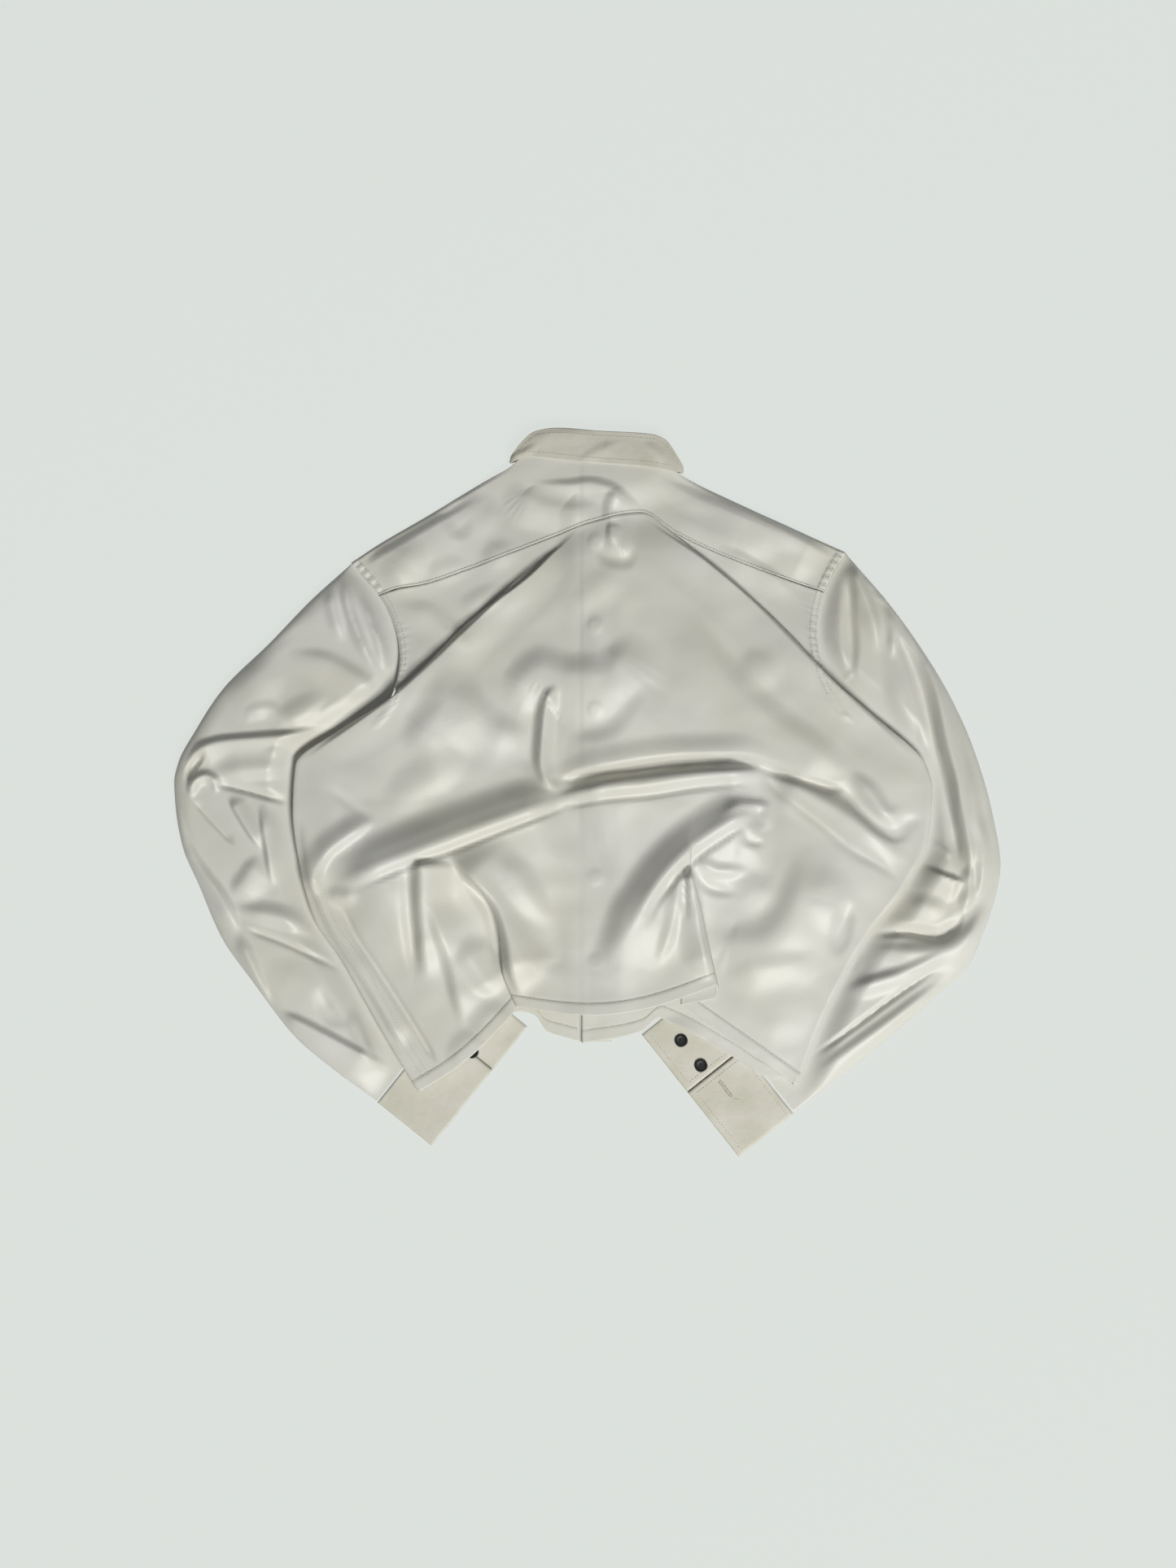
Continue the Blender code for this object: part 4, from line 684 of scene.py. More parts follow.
SLEEVE_FOLDS = (
    (
        "left elbow, upper roll",
        ((-368, 26), (-356, 40), (-337, 47), (-307, 50), (-271, 53), (-241, 58), (-205, 70)),
        7.5, 7, 22, 0.15, 0.4, 0.3,
    ),
    (
        "left elbow, middle roll",
        ((-344, 20), (-316, 22), (-286, 25), (-265, 29)),
        5, 22, 14, 0.35, 0.25, 0.0,
    ),
    ("left elbow, second line", ((-299, 37), (-259, 41), (-217, 55)), 4, 9, 14, 0.35, 0.4, 0.1),
    ("left elbow, lower crease", ((-344, 10), (-311, 2), (-269, -10)), -5, 9, 5, 0.2, 0.15, 0.5),
    ("left elbow, lens", ((-350, 38), (-361, 25), (-368, 11)), -6, 6, 6, 0.3, 0.3, 0.3),
    (
        "left elbow, knuckle",
        ((-364, -5), (-360, 10), (-349, 16), (-340, 10), (-340, -1)),
        7, 7, 8, 0.25, 0.3, 0.2,
    ),
    (
        "left forearm, thin crease",
        ((-362, -6), (-344, -26), (-323, -48)),
        -2.4, 8, 3, 0.2, 0.2, 0.4,
    ),
    (
        "left forearm, first pleat",
        ((-328, -3), (-314, -27), (-305, -41), (-297, -53)),
        5.5, 15, 5, 0.2, 0.3, 0.2,
    ),
    ("left forearm, facet", ((-297, -56), (-310, -76), (-325, -97)), 4.6, 26, 13, 0.35, 0.3, 0.1),
    (
        "left forearm, second pleat",
        ((-299, -9), (-295, -33), (-291, -59), (-288, -88)),
        5.5, 19, 6, 0.3, 0.35, 0.2,
    ),
    (
        "left forearm, third pleat",
        ((-276, -22), (-272, -53), (-274, -80)),
        2.8, 18, 14, 0.4, 0.4, 0.0,
    ),
    (
        "left forearm, outer strip",
        ((-378, -8), (-373, -37), (-359, -64), (-334, -97), (-318, -130)),
        6, 9, 16, 0.25, 0.2, 0.2,
    ),
    (
        "left forearm, outer strip low",
        ((-319, -127), (-306, -161), (-289, -205)),
        5, 8, 14, 0.25, 0.3, 0.2,
    ),
    (
        "left forearm, cross ridge",
        ((-325, -106), (-289, -112), (-247, -125), (-215, -142)),
        6, 15, 12, 0.25, 0.3, 0.1,
    ),
    (
        "left forearm, fine crease",
        ((-313, -124), (-278, -137), (-248, -151), (-221, -164)),
        -3.6, 5, 5, 0.15, 0.15, 0.7,
    ),
    ("left forearm, low swell", ((-296, -158), (-266, -173), (-233, -196)), 2.0, 24, 26, 0.4, 0.4, 0.0),
    ("left forearm, low dip", ((-247, -176), (-236, -202), (-218, -215)), -2.5, 10, 12, 0.4, 0.4, 0.0),
    (
        "left forearm, low fold",
        ((-282, -201), (-254, -214), (-220, -232), (-175, -256)),
        6, 7, 22, 0.15, 0.3, 0.3,
    ),
    (
        "left forearm, low crease",
        ((-215, -193), (-206, -220), (-196, -244)),
        4.5, 5, 14, 0.35, 0.2, 0.3,
    ),
    (
        "left upper arm, arc",
        ((-277, 127), (-244, 122), (-214, 107), (-187, 85)),
        4.2, 13, 24, 0.4, 0.3, 0.0,
    ),
    (
        "left cap, first gather",
        ((-223, 199), (-218, 172), (-206, 139), (-193, 110)),
        5.5, 6, 10, 0.25, 0.35, 0.2,
    ),
    (
        "left cap, second gather",
        ((-208, 185), (-197, 158), (-187, 127), (-178, 98)),
        4.5, 5, 6, 0.25, 0.3, 0.3,
    ),
    ("left cap, third gather", ((-236, 190), (-232, 167), (-223, 137)), 4, 8, 10, 0.3, 0.4, 0.1),
    ("left cap, fourth gather", ((-193, 155), (-183, 128), (-175, 103)), 3, 4, 5, 0.3, 0.3, 0.3),
    (
        "left upper arm, swirl",
        ((-313, 62), (-307, 74), (-292, 77), (-281, 68), (-278, 58)),
        2.2, 10, 11, 0.4, 0.4, 0.0,
    ),
    ("left upper arm, broad", ((-286, 131), (-304, 94), (-323, 65)), 3.6, 26, 28, 0.4, 0.4, 0.0),
    ("left upper arm, low swell", ((-238, 92), (-262, 74), (-289, 62)), 3.4, 12, 18, 0.4, 0.4, 0.0),
    ("left upper arm, crossing", ((-316, 131), (-286, 149), (-253, 167)), 2.4, 12, 14, 0.4, 0.4, 0.0),
    (
        "right sleeve, outer ridge",
        ((290, 157), (310, 127), (321, 94), (328, 58), (339, 11), (347, -31), (352, -67), (350, -86)),
        9, 18, 9, 0.2, 0.15, 0.1,
    ),
    (
        "right sleeve, long trough",
        ((280, 152), (298, 121), (309, 90), (317, 54), (327, 10), (336, -32), (343, -74)),
        -6.5, 7, 11, 0.2, 0.15, 0.2,
    ),
    (
        "right sleeve, second ridge",
        ((346, 43), (352, 13), (356, -19), (364, -53), (361, -82), (349, -109)),
        5.5, 9, 10, 0.3, 0.3, 0.2,
    ),
    (
        "right sleeve, upper ridge",
        ((242, 217), (254, 182), (264, 152), (268, 125)),
        6.5, 8, 15, 0.15, 0.4, 0.3,
    ),
    (
        "right sleeve, second trough",
        ((241, 211), (241, 175), (243, 131), (242, 94)),
        -5, 9, 10, 0.2, 0.4, 0.2,
    ),
    ("right sleeve, third ridge", ((274, 175), (282, 149), (280, 121)), 4, 6, 9, 0.35, 0.35, 0.2),
    ("right sleeve, inner light", ((274, 131), (289, 86), (296, 26)), 3.5, 14, 18, 0.4, 0.4, 0.0),
    ("right sleeve, edge wrinkle", ((254, 199), (271, 186), (284, 173)), 2.8, 5, 7, 0.3, 0.35, 0.2),
    (
        "right sleeve, edge second wrinkle",
        ((260, 185), (277, 175), (293, 152)),
        2.4, 5, 6, 0.3, 0.35, 0.2,
    ),
    ("right sleeve, small crease", ((245, 113), (233, 97)), 2.4, 4, 6, 0.3, 0.3, 0.4),
    ("right sleeve, short wrinkles", ((316, -43), (328, -52), (334, -61)), 2, 5, 6, 0.3, 0.3, 0.2),
    ("right elbow, lip", ((299, -62), (322, -74), (349, -83)), 7, 5, 26, 0.2, 0.25, 0.3),
    ("right elbow, corner", ((350, -64), (350, -88), (344, -112)), 5, 8, 11, 0.3, 0.35, 0.2),
    ("right elbow, cup", ((293, -95), (314, -104), (332, -101)), 3, 14, 16, 0.4, 0.4, 0.0),
    (
        "right forearm, cross crease",
        ((256, -128), (292, -128), (322, -132), (337, -124), (347, -109)),
        -7, 13, 6, 0.15, 0.25, 0.4,
    ),
    (
        "right forearm, cross ridge",
        ((259, -143), (293, -146), (326, -144), (352, -128), (369, -100)),
        7, 13, 22, 0.3, 0.3, 0.1,
    ),
    (
        "right forearm, long fold",
        ((232, -182), (269, -171), (302, -159), (331, -143)),
        6, 9, 16, 0.25, 0.35, 0.2,
    ),
    (
        "right forearm, low edge",
        ((200, -246), (243, -216), (278, -190), (323, -159)),
        -4, 5, 5, 0.15, 0.2, 0.7,
    ),
    (
        "right forearm, low swell",
        ((209, -259), (250, -229), (292, -199), (331, -169)),
        4.5, 9, 26, 0.3, 0.3, 0.1,
    ),
    ("right forearm, white patch", ((239, -148), (251, -154), (248, -164)), 3.4, 5, 5, 0.2, 0.2, 0.6),
)
# Shallow, because the collar is stiffened
COLLAR_FOLDS = (
    ("along the fold", ((-60, 318), (-42, 327), (-16, 330), (14, 329)), 1.2, 7, 14, 0.3, 0.4, 0.0),
    ("slant from the foot", ((-10, 300), (2, 309), (20, 318), (34, 322)), 0.9, 7, 10, 0.3, 0.4, 0.1),
    ("short crease", ((18, 326), (20, 316), (28, 306)), 0.5, 6, 5, 0.4, 0.4, 0.1),
    ("left end", ((-72, 306), (-58, 312), (-44, 322)), 1.3, 5, 8, 0.3, 0.4, 0.0),
    ("right end", ((50, 322), (62, 314), (72, 300)), 1.2, 8, 6, 0.4, 0.4, 0.0),
)
# How far the main panel of the back stands up inside its fold edges, the distances in
# from them between which it rises, and the y between which it sinks again at the neck
MAIN_SWELL = 3.0
SWELL_EDGE = (2.0, 40.0)
SWELL_FULL_Y, SWELL_END_Y = 222.0, 262.0
# Height of the back where it is plain
BACK_PLAIN = 1.2
# Share of its full width that a fold has left at its ends
FOLD_TIP = 0.6
# Below this height a hollow flattens out, so it never reaches the layer underneath
HOLLOW_FLOOR = 0.8

# Unevenness of handled cloth: turn in degrees, length of a wave, height, start
CRUMPLES = (
    (24, 131, 0.5, 0.3),
    (97, 108, 0.4, 1.9),
    (151, 67, 0.3, 4.1),
    (58, 43, 0.16, 2.6),
    (12, 49, 0.15, 5.2),
    (118, 31, 0.08, 0.9),
    (76, 27, 0.06, 3.3),
)
# How its waves wander: how far to the side, and over what length
WANDER = ((11.0, 37.0), (6.0, 17.0))

# What lies under the back shows faintly through it: the height of the band's edge, its
# softness, the x between which it fades out, and the height of a button
BAND_SHOWS = 0.5
BAND_SOFT = 2.0
BAND_FADES = (26.0, 40.0)
BUTTON_SHOWS = 0.9
# How far outside and inside its rim a button's dimple slopes
DIMPLE_OUT, DIMPLE_IN = 3.0, 2.0

# Hems: distance of their stitches from the edge, how proud they stand, the share of that
# which the stitches sink and how wide, and the share of the way down where close rows begin
HEM_DEEP = 11.0
HEM_THICK = 0.9
STITCH_SINK = 0.42
STITCH_SINK_WIDE = 1.3
HEM_FROM = 0.955
# A front's hem stands less proud, and the step above a hem lies between these distances
FRONT_HEM_SHARE = 0.6
HEM_STEP_UP, HEM_STEP_DOWN = 1.2, 0.6

# The felled band beside an armhole: width, height, softness of its edges, share of the
# armhole where it ends
FELL_WIDE = 7.0
FELL_THICK = 0.8
FELL_SOFT = 1.0
FELL_RISES = 1.5
FELL_ENDS = 0.7
# Its puckers: length, height, and how unevenly they follow each other
PUCKER = 6.5
PUCKER_HEIGHT = 0.38
PUCKER_UNEVEN = 1.5
PUCKER_TURNS = 19.0

# Stitches: length, distance from one to the next, width
STITCH_LONG = 2.3
STITCH_STEP = 3.1
STITCH_WIDE = 0.7
# Distances of the armhole's two rows of stitches from its seam, the shares of it between
# which they run, and the distance of the yoke's row from its seam
ARMHOLE_ROWS = (1.7, 6.3)
ARMHOLE_SEWN = (0.02, 0.62)
YOKE_ROW = 2.2
# The same for the two rows down the turned left side of the back, and which of the
# panel's rows they pass
SIDE_ROWS = (6.5, 13.0)
SIDE_SEWN = range(105, 184)
# The same from the collar's two edges
COLLAR_ROW = 4.5
# How far a line of thread stands above the cloth that it is sewn on, and how far below
# the highest place nearby the cloth still counts as the same sheet
THREAD_PROUD = 0.12
SAME_SHEET = 1.2
# Buttonholes of the cuffs: their two ends, and the loose end of thread beside the right one
LEFT_BUTTONHOLE = ((-131.0, -265.0), (-120.0, -252.5))
RIGHT_BUTTONHOLE = ((122.0, -264.5), (133.0, -279.0))
LOOSE_THREAD = ((133.0, -279.0), (135.5, -281.0), (138.5, -281.2), (141.8, -282.4))
BUTTONHOLE_WIDE = 1.9
BUTTONHOLE_STEP = 0.62
# A bar's length and the place of its middle as shares of that width, and its thickness
BUTTONHOLE_BAR = 0.8
BUTTONHOLE_MIDDLE = 0.55
BUTTONHOLE_THREAD = 0.5
# The loose thread's turns: distance from one to the next, length, thickness
LOOSE_TURNS = (0.8, 1.1, 0.4)

# Camera: metres above the surface, its place over it, and the long side of the frame
CAMERA_HEIGHT = 2.6
CAMERA_X, CAMERA_Y = 0.0006, 0.0082
FRAME_LONG = 1.44525
SENSOR = 36.0

# Light: name, place, size in metres, power, tint
LAMPS = (
    ("high lamp", (1.5, -2.9, 4.0), 2.0, 248.0, "fdfdf8"),
    ("soft lamp", (-0.1, 0.2, 4.0), 2.4, 9.0, "f6faff"),
)
ROOM_TINT = "eef1ee"
ROOM_STRENGTH = 0.05
FLOOR_SHADE = "3c3d3c"
FLOOR_GLOW = "dee3df"
FLOOR_GLOW_STRENGTH = 0.93
# Half the floor's side and how far it lies below the shirt, in metres
FLOOR_HALF = 6.0
FLOOR_DROP = 0.0004


def curve(table, share):
    # A smooth line through a table's rows, at each share of the way along
    rows = np.array(table, float)
    at, values = rows[:, 0], rows[:, 1:]
    share = np.clip(share, at[0], at[-1])
    slopes = easy_slopes(at, values)
    k = np.clip(np.searchsorted(at, share, side="right") - 1, 0, len(at) - 2)
    step = (at[k + 1] - at[k])[..., None]
    t = ((share - at[k]) / (at[k + 1] - at[k]))[..., None]
    return (
        (2 * t**3 - 3 * t**2 + 1) * values[k]
        + (t**3 - 2 * t**2 + t) * step * slopes[k]
        + (3 * t**2 - 2 * t**3) * values[k + 1]
        + (t**3 - t**2) * step * slopes[k + 1]
    )


def easy_slopes(at, values):
    # Slopes at a table's rows that never swing past the rows themselves
    steps = np.diff(at)[:, None]
    rises = np.diff(values, axis=0) / steps
    slopes = np.empty_like(values)
    slopes[0], slopes[-1] = rises[0], rises[-1]
    before, after = rises[:-1], rises[1:]
    same = before * after > 0
    near, far = 2 * steps[1:] + steps[:-1], steps[1:] + 2 * steps[:-1]
    safe_before, safe_after = np.where(same, before, 1.0), np.where(same, after, 1.0)
    mean = (near + far) / (near / safe_before + far / safe_after)
    slopes[1:-1] = np.where(same, mean, 0.0)
    return slopes


def ease(low, high, value):
    # Rises smoothly from 0 at low to 1 at high
    t = np.clip((value - low) / (high - low), 0.0, 1.0)
    return t * t * (3 - 2 * t)


def run_along(line):
    # The distance along a line to each of its places
    gaps = np.linalg.norm(np.diff(line, axis=0), axis=1)
    return np.concatenate([[0.0], np.cumsum(gaps)])


def spine(points, steps=26):
    # A rounded line through a fold's places
    places = np.array(points, float)
    run = run_along(places)
    table = np.column_stack([run / run[-1], places])
    return curve(table, np.linspace(0.0, 1.0, steps))


def to_line(x, y, line):
    # Distance to a line, positive on its left, and the share of the way along it
    best = np.full(x.shape, 1e9)
    beside = np.zeros(x.shape)
    share = np.zeros(x.shape)
    count = len(line) - 1
    for i in range(count):
        ax, ay = line[i]
        dx, dy = line[i + 1] - line[i]
        t = np.clip(((x - ax) * dx + (y - ay) * dy) / (dx * dx + dy * dy), 0.0, 1.0)
        gap_x, gap_y = x - ax - t * dx, y - ay - t * dy
        gap = np.hypot(gap_x, gap_y)
        across = (dx * gap_y - dy * gap_x) / math.hypot(dx, dy)
        tied = (gap < best + 1e-6) & (np.abs(across) > np.abs(beside))
        near = (gap < best - 1e-6) | tied
        best = np.where(near, gap, best)
        beside = np.where(near, across, beside)
        share = np.where(near, (i + t) / count, share)
    return best * np.where(beside < 0, -1.0, 1.0), share


def fold_rise(x, y, fold):
    # The height that one fold adds at each place, worked out only near the fold
    _, points, height, left, right, rises, falls, crisp = fold
    line = spine(points)
    reach = max(left, right)
    low, high = line.min(axis=0) - reach, line.max(axis=0) + reach
    near = (x > low[0]) & (x < high[0]) & (y > low[1]) & (y < high[1])
    rise = np.zeros(x.shape)
    if near.any():
        away, share = to_line(x[near], y[near], line)
        along = ease(0.0, rises, share) * ease(0.0, falls, 1.0 - share)
        wide = np.where(away > 0, left, right) * (FOLD_TIP + (1.0 - FOLD_TIP) * along)
        across = np.clip(np.abs(away) / wide, 0.0, 1.0)
        soft = 0.5 + 0.5 * np.cos(math.pi * across)
        sharp = (1.0 - across) ** 2
        rise[near] = height * along * (soft * (1.0 - crisp) + sharp * crisp)
    return rise


def armhole(points, share):
    # A point of an armhole, which is a smooth bend through its three points
    share = np.asarray(share, float)[..., None]
    weights = ((share - 0.5) * (share - 1) * 2, -4 * share * (share - 1), 2 * share * (share - 0.5))
    return sum(weight * np.array(point) for weight, point in zip(weights, points))


def beside_armhole(points, share, gap):
    # The same, a gap away on the body's side
    share = np.asarray(share, float)
    along = armhole(points, share + 0.01) - armhole(points, share - 0.01)
    along /= np.linalg.norm(along, axis=-1, keepdims=True)
    facing = math.copysign(1.0, -points[0][0])
    side = np.stack([-along[..., 1], along[..., 0]], axis=-1)
    return armhole(points, share) + side * gap * facing


def over_arm(x, y, upper):
    # 1 where cloth lies on a hidden sleeve or cuff, easing to 0 beside it.
    # With upper, the part of the sleeve above the underarm counts too
    spread = 0.0 * x
    for inner, cuff, hole, cross, side in (
        (LEFT_SLEEVE_INNER, LEFT_CUFF, LEFT_ARMHOLE, LEFT_CROSS_AT, 1.0),
        (RIGHT_SLEEVE_INNER, RIGHT_CUFF, RIGHT_ARMHOLE, RIGHT_CROSS_AT, -1.0),
    ):
        line = curve(inner, np.linspace(0.0, 1.0, 20))
        # The bed goes on past the wrist
        foot = cuff_corner(cuff, "inner")
        end = foot + (foot - np.array(cuff["inner"])) * 0.3
        start = line[:1] - np.array((BEYOND * side, -UNDERARM_ROOM))
        if upper:
            start = armhole(hole, np.linspace(cross + 0.1, 0.97, 8))
            start = np.vstack([start[:1] - np.array((BEYOND * side, 0.0)), start])
        away, _ = to_line(x, y, np.vstack([start, line, foot, end]))
        within = ease(-HIDDEN_MARGIN - HIDDEN_RAMP, -HIDDEN_MARGIN, -away * side)
        spread = np.maximum(spread, within)
    return spread


def centre_lift(x, peak, foot):
    # Raises the cloth over the placket, easing down beyond its two edges
    return peak * ease(foot - RAMP, foot, x) * ease(PLACKET_RAMP_END, PLACKET_CLEAR, x)


def body_lift(x, y, upper=False):
    # The rise of the body's layers off the floor where they lie on a sleeve
    return REST_ON_SLEEVE * over_arm(x, y, upper)


def button_lift(x, y):
    # Room for the cuffs' buttons under the hems
    lift = 0.0 * x
    for cuff in (LEFT_CUFF, RIGHT_CUFF):
        for button in cuff_button_places(cuff):
            away = np.hypot(x - button[0], y - button[1])
            near = ease(BUTTON_SPREAD, 1.5 * BUTTON_RADIUS, away)
            lift = np.maximum(lift, (BUTTON_HEIGHT + BUTTON_ROOM) * near)
    return lift


def neck_lift(x, y):
    # Raises the back neck onto the folded collar
    away = np.hypot((x - NECK_X) / NECK_WIDE, (y - NECK_Y) / NECK_DEEP)
    return NECK_HEIGHT * ease(NECK_END, NECK_FULL, away)


def settled(rise):
    # Flattens a hollow before it sinks through the layers below
    hollow = HOLLOW_FLOOR * np.exp(np.minimum(rise - HOLLOW_FLOOR, 0.0) / HOLLOW_FLOOR)
    return np.where(rise > HOLLOW_FLOOR, rise, hollow)


def crumple(x, y):
    # The faint unevenness of handled cloth
    rise = 0.0 * x
    (broad, broad_run), (small, small_run) = WANDER
    for turn, length, height, start in CRUMPLES:
        angle = math.radians(turn)
        along = x * math.cos(angle) + y * math.sin(angle)
        beside = y * math.cos(angle) - x * math.sin(angle)
        wave = along + broad * np.sin(beside / broad_run + start) + small * np.sin(beside / small_run)
        rise = rise + height * np.sin(2 * math.pi * wave / length + start)
    return rise


def felled_seam(x, y):
    # The raised band beside each armhole, puckered by its stitching
    rise = 0.0 * x
    for points, facing in ((LEFT_ARMHOLE, 1.0), (RIGHT_ARMHOLE, -1.0)):
        line = armhole(points, np.linspace(0.0, FELL_ENDS, 24))
        length = np.linalg.norm(np.diff(line, axis=0), axis=1).sum()
        away, share = to_line(x, y, line)
        inside = away * facing
        falls = ease(FELL_WIDE + FELL_SOFT, FELL_WIDE - FELL_SOFT, inside)
        band = ease(0.0, FELL_RISES, inside) * falls
        uneven = PUCKER_UNEVEN * np.sin(share * PUCKER_TURNS)
        wave = np.sin(2 * math.pi * share * length / PUCKER + uneven)
        rise = rise + band * (FELL_THICK + PUCKER_HEIGHT * wave)
    return rise


def buttons_show(x, y):
    # The front buttons and the edge of their band show faintly through the back
    edge = ease(OVERLAP_EDGE - BAND_SOFT, OVERLAP_EDGE + BAND_SOFT, x)
    rise = BAND_SHOWS * edge * ease(BAND_FADES[1], BAND_FADES[0], x)
    for place in front_button_places():
        away = np.hypot(x - place[0], y - place[1])
        near = ease(BUTTON_RADIUS + DIMPLE_OUT, BUTTON_RADIUS - DIMPLE_IN, away)
        rise = rise + BUTTON_SHOWS * near
    return rise


def front_button_places():
    # The front buttons, from the neck down
    steps = range(FRONT_BUTTONS)
    return [(FRONT_BUTTON_X, FRONT_BUTTON_TOP_Y - step * FRONT_BUTTON_STEP) for step in steps]


def back_relief(x, y):
    # Height of the folds of the back and yoke
    above = ease(SHOWS_BELOW, SHOWS_ABOVE, y)
    placket = OVERLAP_SHOWS + (OVERLAP_LIFT - OVERLAP_SHOWS) * above
    over_band = centre_lift(x, 1.0, OVERLAP_EDGE - BACK_EASE) * placket
    bed = np.maximum(over_band, neck_lift(x, y))
    swell = MAIN_SWELL * over_main(x, y) * ease(SWELL_END_Y, SWELL_FULL_Y, y)
    rise = swell + BACK_PLAIN + crumple(x, y)
    for fold in BACK_FOLDS + YOKE_FOLDS:
        rise = rise + fold_rise(x, y, fold)
    return bed + settled(rise) + felled_seam(x, y) + buttons_show(x, y)


def over_main(x, y):
    # 1 well inside the main panel of the back, easing to 0 at its fold edges
    levels = np.linspace(0.0, 1.0, 24)
    left, _ = to_line(x, y, curve(LEFT_FOLD, levels))
    right, _ = to_line(x, y, curve(RIGHT_FOLD, levels))
    return ease(*SWELL_EDGE, left) * ease(*SWELL_EDGE, -right)


def back_lift(x, y):
    # All that lifts the back and the yoke off their flat layers
    return body_lift(x, y, True) + back_relief(x, y) + button_lift(x, y)


def step_under(edge, tuck, side, shift, gain):
    # Places across a fold edge, from the under layer, round both turns, to the top.
    # side is 1 where the top lies to the right of the edge, shift moves the layers
    # below along it, and gain is the share of the fold's full depth
    tuck = np.maximum(tuck, TUCK)
    turn, steep = TURN + 0.0 * tuck, TURN_STEEP + 0.0 * tuck
    # Reach inwards, level, and share of the shift down along the edge
    bends = (
        (tuck - TURN, 0.0, 1.0),
        (tuck - TURN_STEEP, 0.25, 1.0),
        (tuck - TURN_STEEP, 0.75, 1.0),
        (tuck - TURN, 1.0, 1.0),
        (turn, 1.0, 0.7),
        (steep, 1.25, 0.4),
        (steep, 1.75, 0.1),
        (turn, 2.0, 0.0),
    )
    folded = ease(FOLD_BEGINS, 1.0, gain)
    places = []
    for away, (reach, level, hang) in zip(UNFOLDED, bends):
        x = edge[..., 0] + side * (folded * reach + (1 - folded) * away)
        y = edge[..., 1] + shift * hang * folded
        flat_level = 2.0 * (away - UNFOLDED[0]) / (UNFOLDED[-1] - UNFOLDED[0])
        z = folded * level + (1 - folded) * flat_level
        places.append((x, y, z))
    return places


def between(start, end, count):
    # Even places strictly between two sets of points
    return [start + (end - start) * k / (count + 1) for k in range(1, count + 1)]


def rows_down(rows):
    # Shares of the way down a panel, closest together at its hem
    wide = np.linspace(0.0, HEM_FROM, rows - HEM_ROWS)[:-1]
    return np.append(wide, np.linspace(HEM_FROM, 1.0, HEM_ROWS + 1))


def distance_to_hem(plan):
    # From each place of a panel straight down its rows to the hem
    steps = np.linalg.norm(np.diff(plan, axis=0), axis=2)
    run = np.cumsum(steps[::-1], axis=0)[::-1]
    return np.vstack([run, np.zeros((1, run.shape[1]))])


def hem_relief(to_hem, thick):
    # A turned hem stands a little proud, with its line of stitches sunk in
    proud = thick * ease(HEM_DEEP + HEM_STEP_UP, HEM_DEEP - HEM_STEP_DOWN, to_hem)
    sunk = np.exp(-(((to_hem - HEM_DEEP) / STITCH_SINK_WIDE) ** 2))
    return proud - STITCH_SINK * thick * sunk


def back_sections(rows, fine):
    # Every section of the back from the yoke seam to the hem, as x, y and level
    down = rows_down(rows)
    left, right = curve(LEFT_FOLD, down), curve(RIGHT_FOLD, down)
    left_lap, right_lap = curve(LEFT_LAP, down), curve(RIGHT_LAP, down)
    gain = ease(0.0, FOLD_FULL, down)
    lap_gain = ease(LAP_START, LAP_FULL, down)
    hem = ease(LAP_DROPS_FROM, 1.0, down)
    under = UNDER_LEVEL + 0.0 * down
    main = UNDER_LEVEL + 2 * BACK_LAYER * gain

    def placed(places, base, rise):
        return [np.column_stack([x, y, base + rise * z]) for x, y, z in places]

    left_step = placed(step_under(left, TUCK, 1.0, 0.0, gain), under, BACK_LAYER * gain)
    right_step = placed(step_under(right, TUCK, -1.0, 0.0, gain), under, BACK_LAYER * gain)
    left_lap_step = placed(
        step_under(left_lap, TUCK, 1.0, 0.0, lap_gain), main, BACK_LAYER * lap_gain
    )
    right_lap_step = placed(
        step_under(right_lap, curve(LAP_TUCK, down)[:, 0], -1.0, -LAP_HEM_DROP * hem, lap_gain),
        main,
        BACK_LAYER * lap_gain,
    )
    left_seam = (LEFT_ARMHOLE, LEFT_SEAM_AT, LEFT_CROSS_AT, LEFT_CROSS_DOWN)
    right_seam = (RIGHT_ARMHOLE, RIGHT_SEAM_AT, RIGHT_CROSS_AT, RIGHT_CROSS_DOWN)
    left_end = side_end(left_seam, left, left_step[0], down, 1.0, under)
    right_end = side_end(right_seam, right, right_step[0], down, -1.0, under)
    # The high power leaves the bow to the lowest rows
    bow = np.zeros((rows, 3))
    bow[:, 1] = -HEM_BOW * down**8
    stations = [left_end, *between(left_end, left_step[0], fine), *left_step]
    left_part = between(left_step[-1], left_lap_step[0], 3 * fine)
    stations += bowed(left_part, bow * LEFT_HEM_BOW / HEM_BOW)
    stations += left_lap_step
    stations += bowed(between(left_lap_step[-1], right_lap_step[-1], 4 * fine), bow)
    stations += right_lap_step[::-1]
    stations += between(right_lap_step[0], right_step[-1], 3 * fine) + right_step[::-1]
    stations += [*between(right_step[0], right_end, fine), right_end]
    sections = np.stack(stations, axis=1)
    seam = curve(YOKE_SEAM, np.linspace(0.0, 1.0, 300))
    target = np.interp(sections[0, :, 0], seam[:, 0], seam[:, 1])
    shift = target - sections[0, :, 1]
    sections[..., 1] += shift[None] * ease(TOP_BENDS, 0.0, down)[:, None]
    return sections


def bowed(places, bow):
    # Even places across a part of the back, with its hem bent down at the middle
    count = len(places) + 1
    return [place + bow * math.sin(math.pi * (k + 1) / count) for k, place in enumerate(places)]


